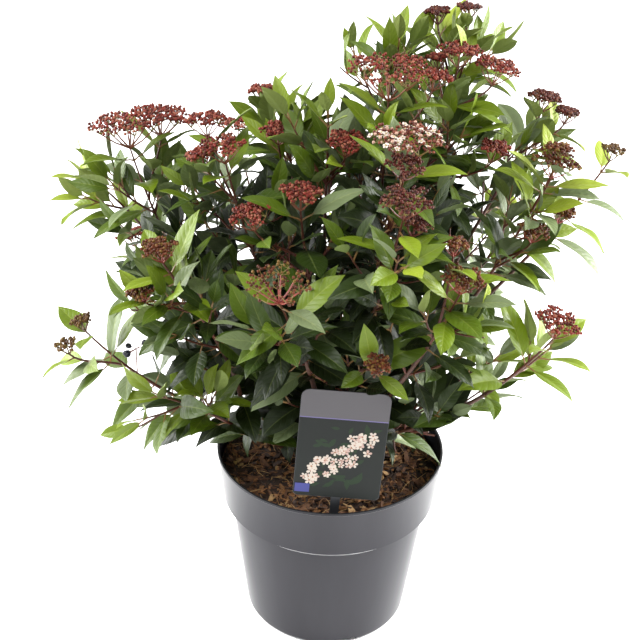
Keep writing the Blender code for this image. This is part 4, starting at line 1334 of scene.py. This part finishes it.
def make_chips():
    """Bark chips and fibres strewn over the soil, thickest at random heaps."""
    rng = random.Random(SEED)
    batch = Batch()
    reach = inner_radius(SOIL_TOP) - 3 * MM
    for _ in range(2600):
        radius = reach * math.sqrt(rng.random())
        angle = rng.uniform(0, 2 * math.pi)
        x, y = radius * math.cos(angle), radius * math.sin(angle)
        heap = 2.2 * MM * (1 + noise.noise(Vector((x, y, 0)) * 34))
        size = rng.choice((0.5, 0.6, 0.8, 1.0, 1.5))
        length = size * rng.uniform(7, 15) * MM
        width = size * rng.uniform(2, 5) * MM
        points, faces = chip_shape(rng, length, width, rng.uniform(0.8, 2.2) * MM)
        turn = Matrix.Rotation(rng.uniform(0, 6.28), 4, "Z") @ Matrix.Rotation(rng.gauss(0, 0.28), 4, "Y")
        turn = turn @ Matrix.Rotation(rng.gauss(0, 0.35), 4, "X")
        place = Matrix.Translation((x, y, SOIL_TOP - 1.2 * MM + rng.random() * heap)) @ turn
        inside = [place @ Vector(p) for p in points]
        if any(math.hypot(p.x, p.y) > inner_radius(SOIL_TOP) - 0.5 * MM for p in inside):
            continue
        batch.add([tuple(p) for p in inside], faces, rng.choice((0, 0, 0, 1, 1, 1, 2, 2, 3)))
    for _ in range(420):
        radius = reach * math.sqrt(rng.random()) * 0.95
        angle = rng.uniform(0, 2 * math.pi)
        start = Vector((radius * math.cos(angle), radius * math.sin(angle), SOIL_TOP + rng.uniform(1, 4) * MM))
        heading = direction(rng.uniform(0, 6.28), rng.uniform(-0.1, 0.25))
        path = [start]
        for _ in range(5):
            heading = (heading + Vector([rng.uniform(-0.35, 0.35) for _ in range(3)])).normalized()
            path.append(path[-1] + heading * rng.uniform(2, 5) * MM)
        if any(math.hypot(p.x, p.y) > reach or p.z < SOIL_TOP - 1 * MM or p.z > SOIL_TOP + 9 * MM for p in path):
            continue
        batch.add(*tube(path, [0.3 * MM] * 5 + [0.1 * MM], 4), rng.choice((2, 3)))
    return batch


# Card

def card_matrix():
    place = Matrix.Translation((*CARD_PLACE, CARD_FOOT_HEIGHT))
    return place @ Matrix.Rotation(CARD_LEAN, 4, "Y")


def card_sheet(batch, outline, lift, slot):
    """A thin printed shape on the card's front, from (x, z) corners; lift is its height off the card."""
    face = -CARD_THICKNESS / 2
    matrix = card_matrix()
    front = [matrix @ Vector((x, face - lift, z)) for x, z in outline]
    back = [matrix @ Vector((x, face - lift + 0.04 * MM, z)) for x, z in outline]
    count = len(outline)
    faces = [list(reversed(range(count))), list(range(count, 2 * count))]
    faces += [[k + count, (k + 1) % count + count, (k + 1) % count, k] for k in range(count)]
    batch.add([tuple(p) for p in front + back], [list(reversed(f)) for f in faces], slot)


def disc(x, z, radius, sides=10):
    return [(x + radius * math.cos(2 * math.pi * k / sides), z + radius * math.sin(2 * math.pi * k / sides)) for k in range(sides)]


def petal_outline(x, z, size, angle):
    """One round petal whose narrow end is at (x, z)."""
    points = []
    for along, across in ((0.1, 0.0), (0.45, 0.26), (0.85, 0.34), (1.1, 0.16), (1.1, -0.16), (0.85, -0.34), (0.45, -0.26)):
        points.append((
            x + size * (along * math.cos(angle) - across * math.sin(angle)),
            z + size * (along * math.sin(angle) + across * math.cos(angle)),
        ))
    return points


def leaf_outline(x, z, size, angle):
    points = []
    for along, across in ((0, 0), (0.25, 0.17), (0.55, 0.2), (1, 0), (0.55, -0.2), (0.25, -0.17)):
        points.append((
            x + size * (along * math.cos(angle) - across * math.sin(angle)),
            z + size * (along * math.sin(angle) + across * math.cos(angle)),
        ))
    return points


CARD_PRINT = {
    "band": (112, 109, 113),
    "ground": (40, 44, 42),
    "foliage": (44, 62, 42),
    "line": (140, 132, 186),
    "petal": (236, 222, 208),
    "blush": (222, 190, 178),
    "eye": (176, 120, 84),
    "square": (84, 88, 158),
    "ochre": (150, 124, 66),
}


def make_card_print():
    """A plain top band, a ground with leaves, scattered five-petalled blossoms and a small square."""
    rng = random.Random(SEED + 3)
    slot = {name: k for k, name in enumerate(CARD_PRINT)}
    batch = Batch()
    edge = 0.3 * MM
    half = CARD_WIDTH / 2 - edge
    band_foot = CARD_HEIGHT - 31 * MM
    corner = CARD_CORNER - edge
    top = CARD_HEIGHT - edge
    arc = [(half - corner + corner * math.cos(a), top - corner + corner * math.sin(a)) for a in np.linspace(0, math.pi / 2, 7)]
    band = [(-half, band_foot), (half, band_foot)] + arc + [(-x, z) for x, z in reversed(arc)]
    card_sheet(batch, band, 0.06 * MM, slot["band"])
    low = 3.2 * MM
    ground = [(-half, low), (-half + 3 * MM, edge), (half - 3 * MM, edge), (half, low), (half, band_foot), (-half, band_foot)]
    card_sheet(batch, ground, 0.06 * MM, slot["ground"])
    card_sheet(batch, [(-half, band_foot), (half, band_foot), (half, band_foot + 0.9 * MM), (-half, band_foot + 0.9 * MM)], 0.12 * MM, slot["line"])
    for _ in range(46):
        size = rng.uniform(9, 17) * MM
        x = rng.uniform(-half + size, half - size)
        z = rng.uniform(size, band_foot - size)
        tone = "ochre" if z < 16 * MM and rng.random() < 0.5 else "foliage"
        card_sheet(batch, leaf_outline(x, z, size * 0.9, rng.uniform(0, 6.28)), (0.11 + 0.02 * rng.random()) * MM, slot[tone])
    lift = 0.16
    for number in range(54):
        t = number / 53
        x = -30 * MM + 60 * MM * t + rng.uniform(-9, 9) * MM
        z = 22 * MM + 48 * MM * t + rng.uniform(-13, 13) * MM
        size = rng.uniform(3.0, 4.4) * MM
        if abs(x) > half - 1.3 * size or not 1.3 * size < z < band_foot - 1.3 * size:
            continue
        if x < -half + 20 * MM and z < 18 * MM:
            continue
        turn = rng.uniform(0, 6.28)
        lift += 0.004
        for k in range(PETALS):
            tone = "petal" if rng.random() < 0.7 else "blush"
            outline = petal_outline(x, z, size, turn + 2 * math.pi * k / PETALS)
            card_sheet(batch, outline, (lift + 0.0008 * k) * MM, slot[tone])
        card_sheet(batch, disc(x, z, 0.22 * size), (lift + 0.006) * MM, slot["eye"])
    left, foot = -half + 1.2 * MM, 4.5 * MM
    square = [(left, foot), (left + 14 * MM, foot), (left + 14 * MM, foot + 10 * MM), (left, foot + 10 * MM)]
    card_sheet(batch, square, 0.5 * MM, slot["square"])
    materials = [
        new_material(f"print_{name}", colour, 0.5, gloss=PRINT_GLOSS) for name, colour in CARD_PRINT.items()
    ]
    return batch.make("card_print", materials, 20)


# Setting

def make_camera():
    data = bpy.data.cameras.new("camera")
    data.sensor_width = 36
    data.lens = FOCAL_PIXELS / PICTURE_PIXELS * data.sensor_width
    camera = bpy.data.objects.new("camera", data)
    bpy.context.scene.collection.objects.link(camera)
    pitch = Matrix.Rotation(math.pi / 2 - CAMERA_PITCH, 4, "X")
    roll = Matrix.Rotation(CAMERA_ROLL, 4, "Z")
    camera.matrix_world = Matrix.Translation(CAMERA_PLACE) @ pitch @ roll
    bpy.context.scene.camera = camera


def area_light(name, place, target, size, power, colour=(1, 1, 1)):
    data = bpy.data.lights.new(name, "AREA")
    data.size = size
    data.energy = power
    data.color = colour
    light = bpy.data.objects.new(name, data)
    light.location = place
    heading = Vector(target) - Vector(place)
    light.rotation_euler = heading.to_track_quat("-Z", "Y").to_euler()
    bpy.context.scene.collection.objects.link(light)


def make_setting():
    """A pale floor, an even white surround and large soft lights."""
    bpy.ops.mesh.primitive_plane_add(size=60)
    floor = bpy.context.object
    floor.name = "floor"
    floor.data.materials.append(new_material("floor", (250, 250, 250), 0.7, 1.0))
    world = bpy.data.worlds.new("surround")
    world.use_nodes = True
    world.node_tree.nodes["Background"].inputs["Color"].default_value = (1, 1, 1, 1)
    world.node_tree.nodes["Background"].inputs["Strength"].default_value = SURROUND_STRENGTH
    bpy.context.scene.world = world
    sun_light("key", (-0.35, -0.55, 1.5), KEY_STRENGTH, 40)
    area_light("left", (-2.3, 0.5, 1.0), (0, 0, 0.3), 1.6, LEFT_POWER)
    area_light("right", (2.3, 0.5, 1.0), (0, 0, 0.3), 1.6, RIGHT_POWER)
    bpy.context.scene.view_settings.view_transform = "Standard"


def sun_light(name, place, strength, spread):
    """An even light from far off on the side of place, softened over spread degrees."""
    data = bpy.data.lights.new(name, "SUN")
    data.energy = strength
    data.angle = math.radians(spread)
    light = bpy.data.objects.new(name, data)
    light.rotation_euler = (-Vector(place)).to_track_quat("-Z", "Y").to_euler()
    bpy.context.scene.collection.objects.link(light)


# Assembly

def keep(piece, slot, *nodes):
    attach(piece, "root")
    if nodes:
        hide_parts(*nodes)


def dress_node(name, material):
    item = frame["nodes"][name]
    for slot in item.material_slots:
        slot.material = material


def main():
    shoots = {}
    for number, row in enumerate(SHOOTS):
        shoots[row[0]] = Shoot(number, row, shoots)
    everyone = list(shoots.values())
    settle_boughs(everyone)

    foliage = Foliage()
    heads = []
    stems = [grow(shoot, foliage, heads) for shoot in everyone]
    print("leaves", foliage.leaf_count, "heads", len(heads), "leaf triangles", foliage.leaves.triangles())

    bark = patterned("bark", [(0.3, (62, 32, 19)), (0.6, (96, 52, 29)), (0.8, (124, 86, 52))], 0.6, 420, 0.0004)
    old_bark = patterned("old_bark", [(0.3, (58, 42, 32)), (0.7, (112, 88, 66))], 0.85, 260, 0.0008, 6.0)
    boughs = make_limbs(everyone, stems).make("boughs", [bark, old_bark])
    limb_nodes = ["stem_foot"] + ["bough_" + shoot.name for shoot in everyone]
    keep(boughs, "bark", *limb_nodes)

    for shoot in everyone:
        steps = 12
        span = [shoot.share + (1 - shoot.share) * k / steps for k in range(steps + 1)]
        foliage.twigs.add(*tube([shoot.point(t) for t in span], [shoot.radius(t) for t in span], TWIG_SIDES), 0)
    young_bark = patterned("young_bark", [(0.35, (84, 36, 21)), (0.7, (116, 54, 30))], 0.5, 500, 0.0002)
    petiole = new_material("petiole", (150, 112, 62), 0.45)
    bump(petiole, object_noise(petiole, 900), "Fac", 0.0001)
    twigs = foliage.twigs.make("twigs", [young_bark, petiole])
    keep(twigs, "bark")

    masses = ["foliage_" + shoot.name for shoot in everyone]
    materials = leaf_materials()
    limit = 199000
    faces, slots = foliage.leaves.faces, foliage.leaves.slots
    points = np.vstack(foliage.leaves.points)
    per_leaf = len(LEAF_FACES)
    leaf_points = ROWS * len(COLUMNS) + len(INNER)
    pieces = math.ceil(foliage.leaf_count * per_leaf / limit)
    leaves_per_piece = math.ceil(foliage.leaf_count / pieces)
    number = 0
    for first in range(0, foliage.leaf_count, leaves_per_piece):
        last = min(foliage.leaf_count, first + leaves_per_piece)
        part = Batch()
        base = first * leaf_points
        part.points = [points[base:last * leaf_points]]
        part.faces = [[c - base for c in face] for face in faces[first * per_leaf:last * per_leaf]]
        part.slots = slots[first * per_leaf:last * per_leaf]
        number += 1
        piece = part.make(f"leaves_{number}", materials)
        place = piece.data.attributes.new(BLADE_PLACE, "FLOAT_VECTOR", "POINT")
        place.data.foreach_set("vector", np.tile(BLADE_PLACES, (last - first, 1)).ravel())
        keep(piece, "leaf", *(masses if number == 1 else ()))

    blossom, stalks, opened, fruit = Batch(), Batch(), Batch(), Batch()
    rng = random.Random(SEED + 900)
    for shoot, twig in heads:
        colour = HEAD_COLOURS.get(shoot.name, "crimson")
        fill = SPENT_FILL if shoot.name in SPENT_HEADS else HEAD_FILL[colour]
        tip, axis = twig.at(0.0)
        main_open = None
        if shoot.name == OPEN_HEAD and twig.order == 0:
            main_open, colour = opened, "blush"
        flower_head(rng, blossom, stalks, tip, axis, twig.head * MM, colour, fill, main_open)
    for name, below, offset in BERRY_CLUSTERS:
        stem = stems[everyone.index(shoots[name])]
        berry_cluster(rng, fruit, stalks, stem, below * MM, Vector(offset) * MM)
    bud_materials = [
        new_material(f"bud_{name}_{k}", colour, 0.5, gloss=BUD_GLOSS)
        for name, colours in BUD_COLOURS.items() for k, colour in enumerate(colours)
    ]
    stalk_materials = [new_material(f"ray_{name}", colour, 0.5) for name, colour in STALK_COLOURS.items()]
    stalk_materials.append(new_material("ray_fine", RAY_COLOUR, 0.5))
    print("bud triangles", blossom.triangles(), "stalk triangles", stalks.triangles())
    keep(blossom.make("flower_buds", bud_materials), "leaf")
    keep(stalks.make("flower_rays", stalk_materials), "leaf")
    petal = new_material("petal", (240, 222, 210), 0.5)
    throat = new_material("flower_throat", (206, 140, 140), 0.5)
    middle = new_material("flower_middle", (214, 196, 120), 0.5)
    keep(opened.make("open_flowers", [petal, throat, middle]), "leaf")
    keep(fruit.make("berries", [new_material("berry_skin", (26, 30, 46), 0.28)]), "leaf")

    greys = [(0.35, (44, 43, 50)), (0.65, (52, 51, 58))]
    outside = patterned("pot_grey", greys, 0.36, 24, 0.0001, 4.0, (1, 1, 0.25), POT_GLOSS)
    matte = outside.node_tree.nodes["Principled BSDF"].inputs
    matte["Sheen Weight"].default_value = POT_SHEEN
    matte["Sheen Roughness"].default_value = POT_SHEEN_ROUGHNESS
    inside = patterned("pot_black", [(0.35, (24, 26, 31)), (0.65, (32, 34, 40))], 0.35, 40, 0.0001)
    keep(make_pot(outside, inside), "pot_plastic", "pot")

    earth = patterned("earth", [(0.35, (34, 22, 15)), (0.6, (62, 40, 26)), (0.8, (92, 62, 40))], 0.95, 180, 0.003, 6.0)
    dress_node("soil", earth)
    chip_colours = ((70, 43, 22), (128, 83, 48), (180, 124, 72), (226, 180, 120))
    chips = [
        patterned(f"chip_{k}", [(0.3, mixed(colour, (20, 12, 8), 0.35)), (0.7, colour)], 0.85, 300, 0.0006, 4.0, (1, 1, 1))
        for k, colour in enumerate(chip_colours)
    ]
    keep(make_chips().make("bark_chips", chips, 25), "substrate")

    card = patterned("card_plastic_dark", [(0.3, (58, 60, 64)), (0.7, (66, 68, 72))], 0.35, 60, 0.00005)
    dress_node("care_card", card)
    keep(make_card_print(), "card_plastic")

    make_camera()
    make_setting()


main()
import json
